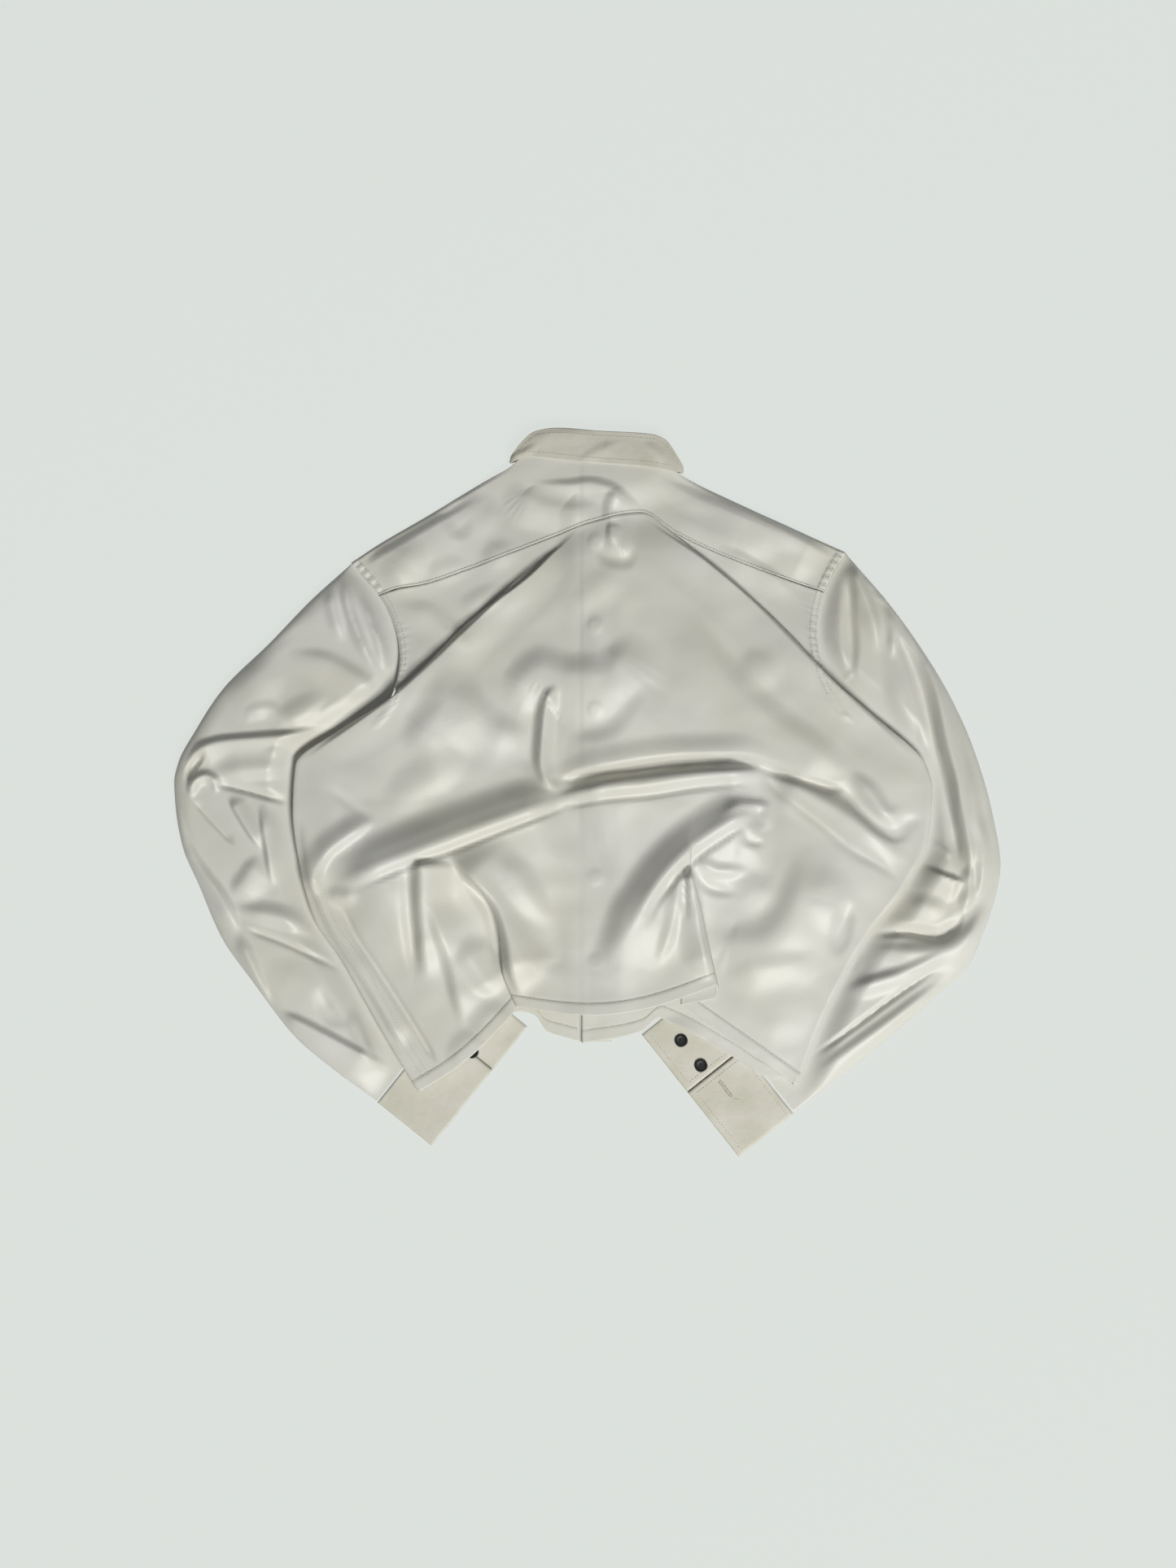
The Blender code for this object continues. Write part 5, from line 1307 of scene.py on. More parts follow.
def side_end(armhole_seam, fold, valley, down, facing, level):
    # The outer end of the under layer: the armhole, then just inside the fold edge
    points, start, end, cross = armhole_seam
    along = start + (end - start) * np.clip(down / cross, 0, 1)
    seam = beside_armhole(points, along, ARMHOLE_GAP)
    tucked = np.column_stack([fold[:, 0] + facing * SIDE_INSET, fold[:, 1]])
    share = ease(cross - CROSS_SOFT, cross + CROSS_SOFT, down)[:, None]
    place = seam * (1 - share) + tucked * share
    limit = valley[:, 0] - facing
    place[:, 0] = np.minimum(place[:, 0] * facing, limit * facing) * facing
    return np.column_stack([place, level])


def sheet_faces(middle, thick, around=False):
    # The two faces of a wall from the points of its middle: first the one on the side
    # that its columns and rows turn to, which is the lower one for the back
    if around:
        padded = np.concatenate([middle[:, -2:-1], middle, middle[:, 1:2]], axis=1)
        across = np.gradient(padded, axis=1)[:, 1:-1]
    else:
        across = np.gradient(middle, axis=1)
    normal = np.cross(across, np.gradient(middle, axis=0))
    normal /= np.linalg.norm(normal, axis=2, keepdims=True) + 1e-12
    return middle + normal * thick / 2, middle - normal * thick / 2


def lifted(points, lift):
    # The same points, raised by a height that depends on where they lie
    out = points.copy()
    out[..., 2] += lift(points[..., 0], points[..., 1])
    return out


def add_node(tree, kind, settings=(), links=()):
    # Adds one node, sets its inputs or options by name, and links its inputs
    made = tree.nodes.new(kind)
    for name, value in dict(settings).items():
        if name in made.inputs:
            made.inputs[name].default_value = value
        else:
            setattr(made, name, value)
    for name, source in dict(links).items():
        tree.links.new(source, made.inputs[name])
    return made


def linear(code):
    # Turns an sRGB hex colour to linear values
    parts = [int(code[i : i + 2], 16) / 255 for i in (0, 2, 4)]
    return tuple(p / 12.92 if p <= 0.04045 else ((p + 0.055) / 1.055) ** 2.4 for p in parts) + (1.0,)


def new_material(name, colour, roughness, **settings):
    # A material's tree with its shader, and its piece's own coordinates
    material = bpy.data.materials.new(name)
    material.use_nodes = True
    tree = material.node_tree
    shader = tree.nodes["Principled BSDF"]
    shader.inputs["Base Color"].default_value = linear(colour)
    shader.inputs["Roughness"].default_value = roughness
    for key, value in settings.items():
        shader.inputs[key.replace("_", " ").title().replace("Ior", "IOR")].default_value = value
    material.diffuse_color = linear(colour)
    return material, tree, shader, add_node(tree, "ShaderNodeTexCoord").outputs["Object"]


def mottled(tree, shader, place, scale, detail, first, second, spread):
    # Colour that drifts between two shades
    drift = add_node(
        tree,
        "ShaderNodeTexNoise",
        {"Scale": scale, "Detail": detail, "Roughness": 0.55},
        {"Vector": place},
    )
    ramp = add_node(tree, "ShaderNodeValToRGB", {}, {"Fac": drift.outputs["Fac"]})
    ramp.color_ramp.elements[0].position = 0.5 - spread
    ramp.color_ramp.elements[0].color = linear(first)
    ramp.color_ramp.elements[1].position = 0.5 + spread
    ramp.color_ramp.elements[1].color = linear(second)
    tree.links.new(ramp.outputs["Color"], shader.inputs["Base Color"])


def woven(tree, shader, place, thread, depth, wrinkle, wrinkle_depth):
    # Relief of crossing threads and of the faint wrinkles that they lie in, all in metres.
    # The bands of a wave texture lie 0.314 of a unit apart at a scale of 1
    waves = [
        add_node(
            tree,
            "ShaderNodeTexWave",
            {"bands_direction": way, "Scale": 0.314 / thread, "Distortion": 0.4, "Detail": 1.0},
            {"Vector": place},
        ).outputs["Fac"]
        for way in ("X", "Y")
    ]
    cross = add_node(tree, "ShaderNodeMath", {"operation": "ADD"})
    tree.links.new(waves[0], cross.inputs[0])
    tree.links.new(waves[1], cross.inputs[1])
    weave = add_node(
        tree,
        "ShaderNodeBump",
        {"Strength": 1.0, "Distance": depth},
        {"Height": cross.outputs["Value"]},
    )
    soft = add_node(
        tree,
        "ShaderNodeTexNoise",
        {"Scale": 1.0 / wrinkle, "Detail": 3.0, "Roughness": 0.5, "Distortion": 0.6},
        {"Vector": place},
    )
    bump = add_node(
        tree,
        "ShaderNodeBump",
        {"Strength": 1.0, "Distance": wrinkle_depth},
        {"Height": soft.outputs["Fac"], "Normal": weave.outputs["Normal"]},
    )
    tree.links.new(bump.outputs["Normal"], shader.inputs["Normal"])


def polyester_satin():
    # Floats of fine filament give a soft broad shine; the shade drifts a little where it was handled
    material, tree, shader, place = new_material(
        "ivory polyester satin", "dad9d3", 0.44, sheen_weight=0.06, ior=1.5
    )
    shader.inputs["Sheen Roughness"].default_value = 0.4
    # Patches about 90 mm wide
    mottled(tree, shader, place, 11.0, 3.0, "d7d5ca", "dddcd8", 0.2)
    # The real threads are 0.1 mm; they are drawn 0.9 mm apart so that they show. The
    # wrinkles are about 30 mm wide
    woven(tree, shader, place, 0.0009, 0.00001, 0.03, 0.0004)
    return material


def faced_satin():
    # Satin fused to interlining: flatter, creamier and less shiny
    material, tree, shader, place = new_material(
        "cream fused satin", "d6d3c6", 0.6, sheen_weight=0.08, ior=1.5
    )
    # Patches about 30 mm wide, where the glue took unevenly, and wrinkles of 9 mm. The
    # threads are drawn as coarse as on the satin
    mottled(tree, shader, place, 34.0, 4.0, "cfccbd", "dcd9cf", 0.16)
    woven(tree, shader, place, 0.0009, 0.00001, 0.009, 0.0003)
    return material


def cast_resin():
    # Buttons cast and polished in black polyester: a clear gloss with a faint haze
    material, tree, shader, place = new_material("black cast polyester", "0d0e0e", 0.28, ior=1.55)
    # Patches of haze about 1 mm wide
    haze = add_node(
        tree, "ShaderNodeTexNoise", {"Scale": 900.0, "Detail": 2.0}, {"Vector": place}
    )
    ramp = add_node(
        tree,
        "ShaderNodeMapRange",
        {"To Min": 0.22, "To Max": 0.38},
        {"Value": haze.outputs["Fac"]},
    )
    tree.links.new(ramp.outputs["Result"], shader.inputs["Roughness"])
    return material


def spun_thread():
    # Sewing thread, twisted, so each stitch shows fine slanted ribs. Its colour is set a little darker
    # than the cloth: partly the thread's own tone, partly painted shade for the small hollows round
    # each stitch
    material, tree, shader, place = new_material("spun polyester thread", "d3d0c3", 0.55)
    # Ribs 0.35 mm apart
    twist = add_node(
        tree,
        "ShaderNodeTexWave",
        {"bands_direction": "DIAGONAL", "Scale": 900.0},
        {"Vector": place},
    )
    bump = add_node(
        tree,
        "ShaderNodeBump",
        {"Strength": 0.6, "Distance": 0.00008},
        {"Height": twist.outputs["Fac"]},
    )
    tree.links.new(bump.outputs["Normal"], shader.inputs["Normal"])
    return material


def finished(name, bm, material, nodes=()):
    # Turns a mesh in millimetres into a named piece, which takes the place of its nodes
    bmesh.ops.translate(bm, vec=(-MIDDLE_X, -MIDDLE_Y, 0.0), verts=bm.verts[:])
    bmesh.ops.scale(bm, vec=(MM, MM, MM), verts=bm.verts[:])
    mesh = bpy.data.meshes.new(name)
    bm.to_mesh(mesh)
    bm.free()
    piece = bpy.data.objects.new(name, mesh)
    bpy.context.scene.collection.objects.link(piece)
    mesh.materials.append(material)
    for face in mesh.polygons:
        face.use_smooth = True
    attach(piece, "root")
    if nodes:
        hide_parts(*nodes)
    return piece


def wall(name, upper, lower, material, node, around=False):
    # One closed piece of cloth from its upper and lower faces
    rows, columns = upper.shape[:2]
    bm = bmesh.new()
    bmesh.ops.create_grid(bm, x_segments=columns - 1, y_segments=rows - 1, size=1.0)
    place = bm.verts.layers.int.new("place")
    for vert in bm.verts:
        column = round((vert.co.x + 1) / 2 * (columns - 1))
        row = round((vert.co.y + 1) / 2 * (rows - 1))
        vert[place] = row * columns + column
        vert.co = upper[row, column]
    if around:
        bmesh.ops.remove_doubles(bm, verts=bm.verts[:], dist=MM)
    first = set(bm.verts)
    bmesh.ops.extrude_face_region(bm, geom=bm.faces[:], use_keep_orig=True)
    for vert in bm.verts:
        row, column = divmod(vert[place], columns)
        if vert in first:
            vert.co = lower[row, column]
    bmesh.ops.recalc_face_normals(bm, faces=bm.faces[:])
    if bm.calc_volume(signed=True) < 0:
        bmesh.ops.reverse_faces(bm, faces=bm.faces[:])
    piece = finished(name, bm, material, [node])
    if around:
        piece.data.set_sharp_from_angle(angle=math.radians(60.0))
    return piece


def back_parts(rows, fine):
    # Upper and lower faces of the back, with the turned hem standing a little proud
    sections = back_sections(rows, fine)
    lower, upper = sheet_faces(sections, BACK_CLOTH)
    upper, lower = lifted(upper, back_lift), lifted(lower, back_lift)
    upper[..., 2] += hem_relief(distance_to_hem(sections[..., :2]), HEM_THICK)
    return upper, lower


def part_way(line, distance):
    # The place at a distance from a line's start, measured in plan
    run = run_along(line[:, :2])
    return [np.interp(distance, run, line[:, axis]) for axis in range(3)]


def along_hem(surface, columns):
    # The line of a hem's stitches, a set distance up from a panel's edge
    return np.array([part_way(surface[::-1, column], HEM_DEEP) for column in columns])


def beside_fold(surface, rows, start, inward):
    # Points a set distance in from a column of a panel
    return np.array([part_way(surface[row, start:], inward) for row in rows])


def laid_on(faces, plan, reach=2.6):
    # A line drawn on the tops of panels: each place takes the mean of the heights near
    # it on the uppermost sheet, the nearest counting most
    cloth = np.vstack([face.reshape(-1, 3) for face in faces])
    low, high = plan.min(axis=0) - reach, plan.max(axis=0) + reach
    near = ((cloth[:, :2] > low) & (cloth[:, :2] < high)).all(axis=1)
    cloth = cloth[near]
    heights = []
    for place in plan:
        away = np.hypot(cloth[:, 0] - place[0], cloth[:, 1] - place[1])
        beside = cloth[away < max(reach, away.min() + 0.01)]
        top = beside[beside[:, 2] > beside[:, 2].max() - SAME_SHEET]
        share = 1.0 / (0.3 + np.hypot(top[:, 0] - place[0], top[:, 1] - place[1])) ** 3
        heights.append((top[:, 2] * share).sum() / share.sum())
    return np.column_stack([plan, np.array(heights) + THREAD_PROUD])


def buttonhole(ends):
    # The close bars of thread round a buttonhole, one short line for each bar
    first, last = np.array(ends[0]), np.array(ends[1])
    along = last - first
    length = np.linalg.norm(along)
    across = np.array((-along[1], along[0])) / length
    bars = []
    for share in np.arange(0.0, length, BUTTONHOLE_STEP) / length:
        for side in (-1, 1):
            out = across * side * BUTTONHOLE_WIDE * BUTTONHOLE_MIDDLE
            middle = first + along * share + out
            reach = across * BUTTONHOLE_WIDE * (BUTTONHOLE_BAR / 2)
            bars.append(np.array((middle - reach, middle + reach)))
    return bars


def stitches(name, lines, thread, step=STITCH_STEP, long=STITCH_LONG, wide=STITCH_WIDE):
    # Short stitches of thread laid end to end along each line
    bm = bmesh.new()
    for line in lines:
        run = run_along(line)
        count = int(run[-1] // step)
        at = (np.arange(count) + 0.5) * step
        ends = [
            np.column_stack([np.interp(at + side * long / 2, run, line[:, axis]) for axis in range(3)])
            for side in (-1, 1)
        ]
        for start, end in zip(*ends):
            way = Vector(end - start)
            turn = way.to_track_quat("X", "Z").to_matrix().to_4x4()
            shape = Matrix.Diagonal((way.length / 2, wide / 2, wide / 2, 1.0))
            middle = Matrix.Translation(Vector((start + end) / 2))
            bmesh.ops.create_icosphere(bm, subdivisions=1, radius=1.0, matrix=middle @ turn @ shape)
    return finished(name, bm, thread)


def make_back(satin, thread):
    # The back with its rolled sides and two laps, and all the stitches on it
    upper, lower = back_parts(BACK_ROWS, BACK_FINE)
    piece = wall("back_panel", upper, lower, satin, "back")
    # The columns at which the left part, the middle and the right part begin and end
    turn, fine = len(UNFOLDED), BACK_FINE
    left_edge = turn + fine + 1
    left_lap = left_edge + 1 + 3 * fine
    right_lap = left_lap + 2 * turn + 4 * fine
    right_edge = right_lap + turn + 3 * fine
    hems = [
        along_hem(upper, range(left_edge + 2, left_lap - 1)),
        along_hem(upper, range(left_lap + turn - 1, left_lap + turn + 1 + 4 * fine)),
        along_hem(upper, range(right_lap + 1, right_edge - 2)),
    ]
    sides = [beside_fold(upper, SIDE_SEWN, left_edge, inward) for inward in SIDE_ROWS]
    above, _ = yoke_faces()
    seams = [
        laid_on([upper, above], beside_armhole(points, np.linspace(*ARMHOLE_SEWN, 90), row))
        for points in (LEFT_ARMHOLE, RIGHT_ARMHOLE)
        for row in ARMHOLE_ROWS
    ]
    sewn = stitches("back_stitches", hems + sides + seams, thread)
    return piece, sewn


def yoke_faces():
    # Upper and lower faces of the yoke, from the neck and shoulders to its seam
    across, down = np.linspace(0.0, 1.0, YOKE_COLUMNS), np.linspace(0.0, 1.0, YOKE_ROWS)
    top, seam = curve(YOKE_TOP, across), curve(YOKE_SEAM, across)
    toward = seam - top
    length = np.linalg.norm(toward, axis=1, keepdims=True)
    seam = seam - toward / length * SEAM_GAP * 0.4
    plan = top[None] + (seam - top)[None] * down[:, None, None]
    for points, at, end in (
        (LEFT_ARMHOLE, LEFT_SEAM_AT, 0),
        (RIGHT_ARMHOLE, RIGHT_SEAM_AT, -1),
    ):
        wanted = beside_armhole(points, down * at * YOKE_SHORT, ARMHOLE_GAP)
        fade = ease(YOKE_END, 0.0, np.abs(across - across[end]))
        plan = plan + (wanted - plan[:, end])[:, None] * fade[None, :, None]
    drop = (UNDER_LEVEL - FRONT_LEVEL) * ease(SHOULDER_EASE, 0.0, down)[:, None]
    shoulder = 1 - ease(SHOULDER_FAR, SHOULDER_NEAR, np.abs(plan[..., 0] - NECK_X))
    level = UNDER_LEVEL - drop * shoulder
    middle = np.concatenate([plan, level[..., None]], axis=2)
    upper, lower = sheet_faces(middle[::-1], BACK_CLOTH)
    upper, lower = lifted(upper, back_lift), lifted(lower, back_lift)
    to_seam = (1 - down)[::-1][:, None] * length[None, :, 0]
    upper[..., 2] += YOKE_TURN_HEIGHT * ease(YOKE_TURN_END, YOKE_TURN_FULL, to_seam)
    return upper, lower


def make_yoke(satin, thread):
    # The yoke, and the row of stitches above its seam
    upper, lower = yoke_faces()
    row = curve(YOKE_SEAM, np.linspace(0.02, 0.98, 240)) + np.array((0.0, YOKE_ROW))
    sewn = stitches("yoke_stitches", [laid_on([upper], row)], thread)
    return wall("yoke_panel", upper, lower, satin, "yoke"), sewn


def front_lift(peak, foot):
    # The height function of a front, whose inner edge lies on what is under it
    return lambda x, y: np.maximum(
        body_lift(x, y) + button_lift(x, y), centre_lift(x, peak, foot)
    )


def front_outer(points, fold, corner):
    # Outer edge of a front: down the armhole, then down the side inside the fold edge
    shares = np.linspace(FRONT_SHOULDER, FRONT_UNDERARM, FRONT_ARMHOLE_ROWS)
    gap = ARMHOLE_GAP + UNDERARM_SLACK * ease(SLACK_FROM, SLACK_FULL, shares)[:, None]
    rows = list(beside_armhole(points, shares, gap))
    side = curve(fold, np.linspace(*FRONT_SIDE, FRONT_SIDE_ROWS))
    side[:, 0] += math.copysign(FRONT_SIDE_INSET, -points[0][0])
    rows += [*side, np.array(corner)]
    rows = np.array(rows)
    length = run_along(rows)
    return np.column_stack([length / length[-1], rows])


def make_front(name, node, outer, inner, hem, lift, mirrored, satin):
    # One front from its outer to its inner edge. Where it isn't mirrored, its rows are
    # turned round, so that its first face is the upper one again
    across, down = np.linspace(0.0, 1.0, FRONT_COLUMNS), rows_down(FRONT_ROWS)
    start, end = curve(outer, down)[:, None], curve(inner, down)[:, None]
    plan = start + (end - start) * across[None, :, None]
    drop = curve(hem, across)[:, 0]
    plan[..., 1] += drop[None] * ease(FRONT_BENDS_FROM, 1.0, down)[:, None]
    middle = np.concatenate([plan, np.full(plan.shape[:2] + (1,), FRONT_LEVEL)], axis=2)
    upper, lower = sheet_faces(middle if mirrored else middle[::-1], CLOTH)
    upper, lower = lifted(upper, lift), lifted(lower, lift)
    proud = hem_relief(distance_to_hem(plan), FRONT_HEM_SHARE * HEM_THICK)
    upper[..., 2] += proud if mirrored else proud[::-1]
    piece = wall(name, upper, lower, satin, node)
    surface = upper if mirrored else upper[::-1]
    return piece, along_hem(surface, range(2, FRONT_COLUMNS - 2))


def make_band(satin):
    # The strip on the left front that closes over the front buttons
    across = np.linspace(PLACKET_LEFT, PLACKET_RIGHT, BAND_COLUMNS)
    down = np.linspace(PLACKET_FOOT, PLACKET_TOP, BAND_ROWS)
    x, y = np.meshgrid(across, down)
    middle = np.stack([x, y, 0 * x + FRONT_LEVEL + PLACKET_LIFT], axis=2)
    upper, lower = sheet_faces(middle, CLOTH)
    return wall("button_band", upper, lower, satin, "placket")


def sleeve_sections(outer, middle, inner, rows, top_count, low_count):
    # Flat tube: over the top from the outer edge, round, and back underneath
    down = np.linspace(0.0, 1.0, rows)
    edges = [curve(table, down) for table in (outer, middle, inner)]
    level_top = SLEEVE_SHUT + (SLEEVE_OPEN - SLEEVE_SHUT) * ease(0.0, SLEEVE_HEAD, down)
    half = (level_top - SLEEVE_LOW) / 2
    centre = (level_top + SLEEVE_LOW) / 2
    inner_half = np.linalg.norm(edges[2] - edges[1], axis=1)
    width = inner_half + np.linalg.norm(edges[1] - edges[0], axis=1)
    inset = (half + CLOTH / 2) / width
    # Share of the width, side of the tube and reach beyond its edge
    ring = [(share, 1.0, 0.0) for share in np.linspace(0.0, 1.0, top_count)]
    ring += [(1.0, math.cos(a), math.sin(a)) for a in HALF_TURN]
    ring += [(share, -1.0, 0.0) for share in np.linspace(1.0, 0.0, low_count)]
    ring += [(0.0, -math.cos(a), -math.sin(a)) for a in HALF_TURN]
    ring.append(ring[0])
    places = []
    for share, lift, out in ring:
        t = inset + share * (1 - 2 * inset) + out * half / width
        weights = ((t - 0.5) * (t - 1) * 2, -4 * t * (t - 1), 2 * t * (t - 0.5))
        plan = sum(w[:, None] * edge for w, edge in zip(weights, edges))
        places.append(np.column_stack([plan, centre + lift * half]))
    sections = np.stack(places, axis=1)
    # The head slides down by the armhole's gap
    ends = sections[1] - sections[0]
    length = np.linalg.norm(ends[:, :2], axis=1, keepdims=True)
    slide = (1 - down)[:, None, None] ** 20 * (ends[:, :2] / length)[None] * ARMHOLE_GAP
    sections[..., :2] += slide
    return sections


def sleeve_lift(outer, side):
    # How far the top of a sleeve stands off its underside at each place
    rim = curve(outer, np.linspace(0.0, 1.0, 40))
    body = curve(LEFT_FOLD if side > 0 else RIGHT_FOLD, np.linspace(0.22, 1.0, 30))
    seam = armhole(LEFT_ARMHOLE if side > 0 else RIGHT_ARMHOLE, np.linspace(0.0, 1.0, 16))

    def lift(x, y):
        edge, along = to_line(x, y, rim)
        edge = np.clip(edge * side, 0.0, None)
        to_body, _ = to_line(x, y, body)
        to_seam, _ = to_line(x, y, seam)
        clear = ease(3.0, SLEEVE_HOLLOW, -to_body * side)
        clear = clear * ease(2.0, SEAM_HOLLOW, np.abs(to_seam))
        clear = clear * ease(0.0, SLEEVE_FOOT, 1.0 - along)
        rounded = np.sqrt(1 - (1 - np.clip(edge / SLEEVE_ROUND, 0.0, 1.0)) ** 2)
        rise = SLEEVE_PUFF + SLEEVE_UNEVEN * crumple(x, y)
        for fold in SLEEVE_FOLDS:
            rise = rise + fold_rise(x, y, fold)
        return clear * rounded * settled(rise)

    return lift


def make_sleeve(name, node, outer, middle, inner, side, satin):
    # A flattened tube whose top stands up; side is 1 for the left sleeve, -1 for the right
    counts = (SLEEVE_ROWS, SLEEVE_TOP_COLUMNS, SLEEVE_LOW_COLUMNS)
    sections = sleeve_sections(outer, middle, inner, *counts)
    if side < 0:
        sections = sections[:, ::-1]
    outside, inside = sheet_faces(sections, CLOTH, around=True)
    lift = sleeve_lift(outer, side)
    share = ease(SLEEVE_LOW + 0.3, SLEEVE_OPEN - 0.3, sections[..., 2])

    def raised(points):
        out = points.copy()
        out[..., 2] += share * lift(points[..., 0], points[..., 1])
        return out

    return wall(name, raised(outside), raised(inside), satin, node, around=True)


def cuff_corner(cuff, name):
    # The corner at the wrist below a named corner at the seam
    outer, inner = np.array(cuff["outer"]), np.array(cuff["inner"])
    along = (inner - outer) / np.linalg.norm(inner - outer)
    down = np.array((along[1], -along[0])) * math.copysign(1.0, -outer[0])
    down = down if down[1] < 0 else -down
    return np.array(cuff[name]) + down * CUFF_HEIGHT


def cuff_frame(cuff):
    # A cuff's outer corner at the seam, its way across and its way down to the wrist
    outer, inner = np.array(cuff["outer"]), np.array(cuff["inner"])
    return outer, inner - outer, cuff_corner(cuff, "outer") - outer


def cuff_button_places(cuff):
    # The places of a cuff's two buttons
    outer, along, down = cuff_frame(cuff)
    wrist = outer + along + down * (1 - CUFF_BUTTON_UP / CUFF_HEIGHT)
    length = np.linalg.norm(along)
    return [wrist - along / length * inward for inward in cuff["buttons"]]


def make_cuff(name, node, cuff, faced, thread):
    # A band bent round flat, open at the slit on the upper side
    outer, along, down = cuff_frame(cuff)
    width = np.linalg.norm(along)
    top, low = CUFF_TOP, SLEEVE_LOW
    half, centre = (top - low) / 2, (top + low) / 2
    inset = (half + CLOTH / 2) / width
    slit, gap = cuff["slit"], CUFF_SLIT_GAP / width
    first = np.linspace(slit + gap / 2, 1 - inset, CUFF_FIRST_COLUMNS)
    below = np.linspace(1 - inset, inset, CUFF_LOW_COLUMNS)
    last = np.linspace(inset, slit - gap / 2, CUFF_LAST_COLUMNS)
    ring = [(share, 1.0, 0.0) for share in first]
    ring += [(1 - inset, math.cos(a), math.sin(a)) for a in HALF_TURN]
    ring += [(share, -1.0, 0.0) for share in below]
    ring += [(inset, -math.cos(a), -math.sin(a)) for a in HALF_TURN]
    ring += [(share, 1.0, 0.0) for share in last]
    rows = np.linspace(SEAM_GAP / CUFF_HEIGHT, 1.0, CUFF_ROWS)
    places = []
    for share, lift, out in ring:
        plan = outer + along * (share + out * half / width) + rows[:, None] * down
        places.append(np.column_stack([plan, np.full(len(rows), centre + lift * half)]))
    middle = np.stack(places, axis=1)
    upper, lower = sheet_faces(middle, CLOTH)
    share = ease(low, top, middle[..., 2])
    for face in (upper, lower):
        uneven = CUFF_UNEVEN * crumple(face[..., 0], face[..., 1])
        face[..., 2] += share * (CUFF_PUFF + uneven)
    piece = wall(name, upper, lower, faced, node)
    return piece, sew_cuff(name, cuff, upper, inset * width, thread)


def sew_cuff(name, cuff, upper, turn, thread):
    # Rows of stitches round both parts of a cuff, its buttonhole and a loose end of thread
    outer, along, down = cuff_frame(cuff)
    width = np.linalg.norm(along)
    before, behind = cuff["slit"] * width - CUFF_ROW, cuff["slit"] * width + CUFF_ROW
    lines = []
    for first, last in ((turn + 1.0, before), (behind, width - 3.0)):
        for deep in (CUFF_ROW, CUFF_HEIGHT - CUFF_ROW):
            shares = np.linspace(first, last, 40)[:, None] / width
            lines.append(outer + along * shares + down * deep / CUFF_HEIGHT)
    for edge in (before, behind):
        deep = np.linspace(CUFF_ROW, CUFF_HEIGHT - CUFF_ROW, 20)[:, None] / CUFF_HEIGHT
        lines.append(outer + along * edge / width + down * deep)
    placed = [laid_on([upper], plan) for plan in lines]
    hole = RIGHT_BUTTONHOLE if outer[0] > 0 else LEFT_BUTTONHOLE
    bars = [laid_on([upper], bar) for bar in buttonhole(hole)]
    sewn = stitches(name + "_stitches", placed, thread)
    long = BUTTONHOLE_WIDE * BUTTONHOLE_BAR
    worked = stitches(
        name + "_buttonhole", bars, thread, long * 0.98, long, BUTTONHOLE_THREAD
    )
    pieces = [sewn, worked]
    if outer[0] > 0:
        loose = laid_on([upper], spine(LOOSE_THREAD))
        pieces.append(stitches("loose_thread", [loose], thread, *LOOSE_TURNS))
    return pieces


def make_button(name, node, x, y, low, resin):
    # A four-hole button with a rounded rim and a dished middle
    bm = bmesh.new()
    bmesh.ops.create_circle(bm, cap_ends=True, radius=BUTTON_RADIUS, segments=48)
    grown = bmesh.ops.extrude_face_region(bm, geom=bm.faces[:], use_keep_orig=True)
    tops = [item for item in grown["geom"] if isinstance(item, bmesh.types.BMVert)]
    bmesh.ops.translate(bm, vec=(0, 0, BUTTON_HEIGHT), verts=tops)
    bmesh.ops.recalc_face_normals(bm, faces=bm.faces[:])
    rims = [edge for edge in bm.edges if all(len(v.link_faces) == 3 for v in edge.verts)]
    rims = [edge for edge in rims if abs(edge.verts[0].co.z - edge.verts[1].co.z) < 0.1]
    bmesh.ops.bevel(
        bm,
        geom=rims,
        offset=BUTTON_RIM_ROUND,
        segments=3,
        profile=0.5,
        affect="EDGES",
        material=-1,
    )
    lid = max(bm.faces, key=lambda face: face.calc_center_median().z)
    for thickness, depth in ((BUTTON_RIM_WIDE, 0.0), *BUTTON_DISH):
        bmesh.ops.inset_region(bm, faces=[lid], thickness=thickness, depth=depth)
    bmesh.ops.translate(bm, vec=(x, y, low), verts=bm.verts[:])
    piece = finished(name, bm, resin, [node])
    drill_holes(piece, x, y, low)
    for face in piece.data.polygons:
        face.use_smooth = True
    piece.data.set_sharp_from_angle(angle=math.radians(28.0))
    return piece


def drill_holes(piece, x, y, low):
    # Four thread holes, closed below by the thread that holds the button
    bm = bmesh.new()
    long = 6.0
    height = low + (HOLE_FLOOR + long / 2)
    for turn in (45, 135, 225, 315):
        a = math.radians(turn)
        place = (x + HOLE_AWAY * math.cos(a), y + HOLE_AWAY * math.sin(a), height)
        bmesh.ops.create_cone(
            bm,
            cap_ends=True,
            segments=12,
            radius1=HOLE_RADIUS,
            radius2=HOLE_RADIUS,
            depth=long,
            matrix=Matrix.Translation(place),
        )
    bmesh.ops.translate(bm, vec=(-MIDDLE_X, -MIDDLE_Y, 0.0), verts=bm.verts[:])
    bmesh.ops.scale(bm, vec=(MM, MM, MM), verts=bm.verts[:])
    mesh = bpy.data.meshes.new("drill")
    bm.to_mesh(mesh)
    bm.free()
    drill = bpy.data.objects.new("drill", mesh)
    bpy.context.scene.collection.objects.link(drill)
    cut = piece.modifiers.new("holes", "BOOLEAN")
    cut.operation = "DIFFERENCE"
    cut.solver = "EXACT"
    cut.object = drill
    bpy.context.view_layer.update()
    shaped = piece.evaluated_get(bpy.context.evaluated_depsgraph_get())
    drilled = bpy.data.meshes.new_from_object(shaped)
    piece.modifiers.clear()
    piece.data = drilled
    bpy.data.objects.remove(drill)


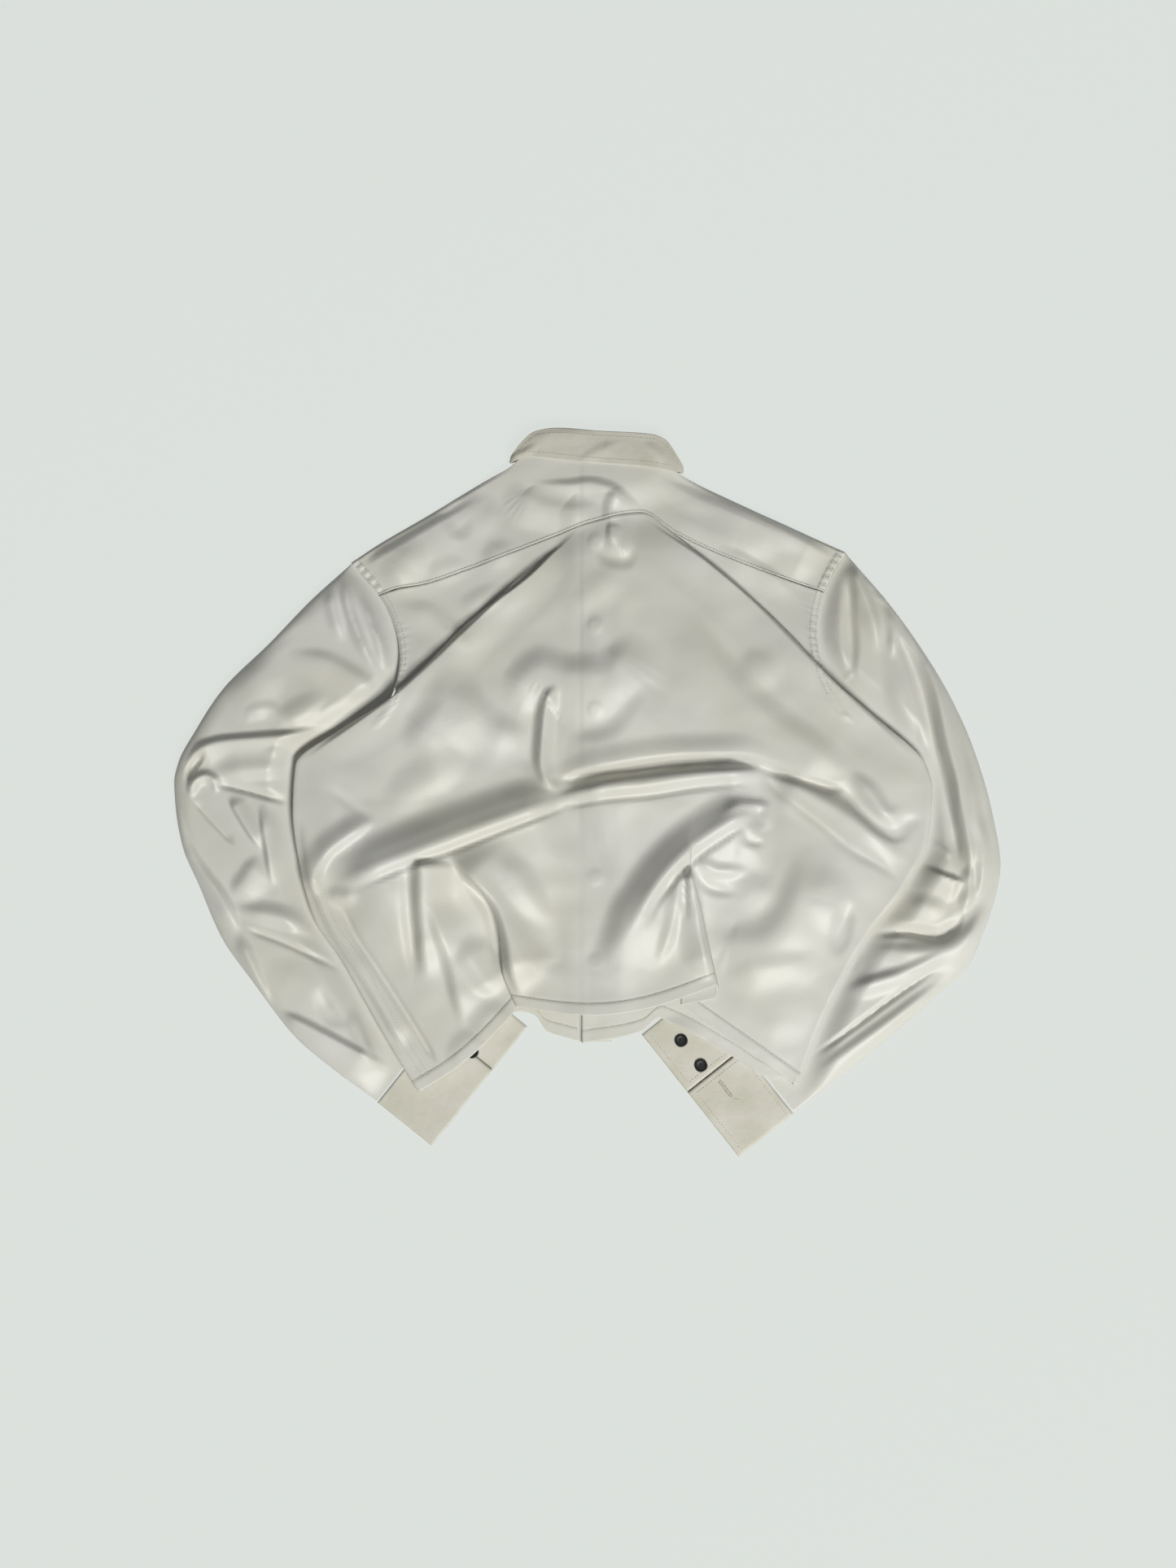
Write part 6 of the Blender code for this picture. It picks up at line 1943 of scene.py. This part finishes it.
def ring_path(across):
    # Path round a flattened collar as share of its width and of its height,
    # open at the centre underneath
    path = [(share, 0.0) for share in np.linspace(COLLAR_OPEN[0], COLLAR_END, across)]
    path += [(COLLAR_END * (1 - math.sin(a)), 0.5 - 0.5 * math.cos(a)) for a in HALF_TURN]
    path += [(share, 1.0) for share in np.linspace(COLLAR_END, 1 - COLLAR_END, 2 * across)]
    path += [(1 - COLLAR_END * (1 - math.sin(a)), 0.5 + 0.5 * math.cos(a)) for a in HALF_TURN]
    path += [(share, 0.0) for share in np.linspace(1 - COLLAR_END, COLLAR_OPEN[1], across)]
    return path


def make_collar(name, node, inset, foot_in, head_in, faced):
    # A band round the neck, pressed flat; inset sets it inside the piece around it
    rows = np.linspace(0.0, 1.0, COLLAR_ROWS)
    low = CLOTH / 2 + inset
    places = []
    for share, up in ring_path(COLLAR_COLUMNS):
        foot, head = curve(COLLAR_LOW, share), curve(COLLAR_TOP, share)
        # At its low ends the band keeps most of its height
        length = np.linalg.norm(head - foot)
        first = min(foot_in / length, 0.3)
        last = 1 - min(head_in / length, 0.1)
        level = first + (last - first) * rows
        plan = foot + (head - foot) * level[:, None]
        shut = 1 - (1 - COLLAR_SHUT) * ease(0.3, 1.0, level)
        high = CLOTH / 2 + COLLAR_RISE * shut - inset
        plan[:, 0] += inset * (1 - 2 * share)
        rise = 0.0 * level
        for fold in COLLAR_FOLDS:
            rise = rise + fold_rise(plan[:, 0], plan[:, 1], fold)
        places.append(np.column_stack([plan, low + (high - low + rise) * up]))
    middle = np.stack(places, axis=1)
    upper, lower = sheet_faces(middle, CLOTH)
    return wall(name, upper, lower, faced, node), upper


def sew_collar(face, thread):
    # One row of stitches near the fold's edge and one near its foot
    shares = np.linspace(0.05, 0.95, 160)
    foot, head = curve(COLLAR_LOW, shares), curve(COLLAR_TOP, shares)
    toward = (head - foot) / np.linalg.norm(head - foot, axis=1, keepdims=True)
    rows = [foot + toward * COLLAR_ROW, head - toward * COLLAR_ROW]
    return stitches("collar_stitches", [laid_on([face], row) for row in rows], thread)


def make_floor():
    # A pale matt board under the shirt, lit evenly from below as well as from above
    bm = bmesh.new()
    bmesh.ops.create_grid(bm, x_segments=4, y_segments=4, size=FLOOR_HALF)
    bmesh.ops.translate(bm, vec=(0.0, 0.0, -FLOOR_DROP), verts=bm.verts[:])
    mesh = bpy.data.meshes.new("floor")
    bm.to_mesh(mesh)
    bm.free()
    floor = bpy.data.objects.new("floor", mesh)
    bpy.context.scene.collection.objects.link(floor)
    material, _, shader, _ = new_material("matt board", FLOOR_SHADE, 0.9)
    shader.inputs["Specular IOR Level"].default_value = 0.0
    shader.inputs["Emission Color"].default_value = linear(FLOOR_GLOW)
    shader.inputs["Emission Strength"].default_value = FLOOR_GLOW_STRENGTH
    floor.data.materials.append(material)


def make_lamp(name, place, size, power, tint):
    # A square soft lamp turned to the shirt
    lamp = bpy.data.lights.new(name, "AREA")
    lamp.shape = "SQUARE"
    lamp.size = size
    lamp.energy = power
    lamp.color = linear(tint)[:3]
    holder = bpy.data.objects.new(name, lamp)
    holder.location = place
    holder.rotation_euler = (-Vector(place)).to_track_quat("-Z", "Y").to_euler()
    bpy.context.scene.collection.objects.link(holder)


def make_camera():
    # Straight above; the lens takes in the photograph's frame on the surface
    camera = bpy.data.cameras.new("camera")
    camera.sensor_width = SENSOR
    camera.lens = SENSOR * CAMERA_HEIGHT / FRAME_LONG
    camera.clip_end = 20.0
    holder = bpy.data.objects.new("camera", camera)
    holder.location = (CAMERA_X, CAMERA_Y, CAMERA_HEIGHT)
    holder.rotation_euler = (0.0, 0.0, 0.0)
    bpy.context.scene.collection.objects.link(holder)
    bpy.context.scene.camera = holder


def make_room():
    # Soft studio light: a large lamp high beyond the hem on the right, a weak one above,
    # and pale light all round
    scene = bpy.context.scene
    world = bpy.data.worlds.new("room")
    world.use_nodes = True
    sky = world.node_tree.nodes["Background"]
    sky.inputs["Color"].default_value = linear(ROOM_TINT)
    sky.inputs["Strength"].default_value = ROOM_STRENGTH
    scene.world = world
    scene.view_settings.view_transform = "Standard"
    for lamp in LAMPS:
        make_lamp(*lamp)
    make_floor()
    make_camera()


def main():
    satin, faced, resin, thread = polyester_satin(), faced_satin(), cast_resin(), spun_thread()
    back, back_sewn = make_back(satin, thread)
    yoke, yoke_sewn = make_yoke(satin, thread)
    left_front, left_hem = make_front(
        "left_front",
        "front_left",
        front_outer(LEFT_ARMHOLE, LEFT_FOLD, LEFT_FRONT_CORNER),
        FRONT_LEFT_INNER,
        LEFT_FRONT_HEM,
        front_lift(PLACKET_LIFT, PLACKET_LEFT - FRONT_EASE),
        False,
        satin,
    )
    right_front, right_hem = make_front(
        "right_front",
        "front_right",
        front_outer(RIGHT_ARMHOLE, RIGHT_FOLD, RIGHT_FRONT_CORNER),
        FRONT_RIGHT_INNER,
        RIGHT_FRONT_HEM,
        front_lift(OVERLAP_LIFT, OVERLAP_EDGE - FRONT_EASE),
        True,
        satin,
    )
    front_sewn = stitches("front_stitches", [left_hem, right_hem], thread)
    band = make_band(satin)
    leaf, leaf_face = make_collar("collar_fold", "collar_leaf", 0.0, 0.0, 0.0, faced)
    leaf_sewn = sew_collar(leaf_face, thread)
    stand, _ = make_collar("collar_band", "collar_stand", STAND_INSET, STAND_FOOT, STAND_HEAD, faced)
    left_sleeve = make_sleeve(
        "left_sleeve",
        "sleeve_left",
        LEFT_SLEEVE_OUTER,
        LEFT_SLEEVE_MIDDLE,
        LEFT_SLEEVE_INNER,
        1.0,
        satin,
    )
    right_sleeve = make_sleeve(
        "right_sleeve",
        "sleeve_right",
        RIGHT_SLEEVE_OUTER,
        RIGHT_SLEEVE_MIDDLE,
        RIGHT_SLEEVE_INNER,
        -1.0,
        satin,
    )
    left_cuff, left_cuff_sewn = make_cuff("left_cuff", "cuff_left", LEFT_CUFF, faced, thread)
    right_cuff, right_cuff_sewn = make_cuff("right_cuff", "cuff_right", RIGHT_CUFF, faced, thread)
    top = CUFF_TOP + CLOTH / 2 + THREAD
    for side, cuff in (("left", LEFT_CUFF), ("right", RIGHT_CUFF)):
        for number, place in enumerate(cuff_button_places(cuff), 1):
            name, node = f"{side}_cuff_button_{number}", f"cuff_button_{side}_{number}"
            make_button(name, node, *place, top, resin)
    for number, place in enumerate(front_button_places(), 1):
        make_button(f"centre_button_{number}", f"front_button_{number}", *place, 0.0, resin)
    make_room()


main()
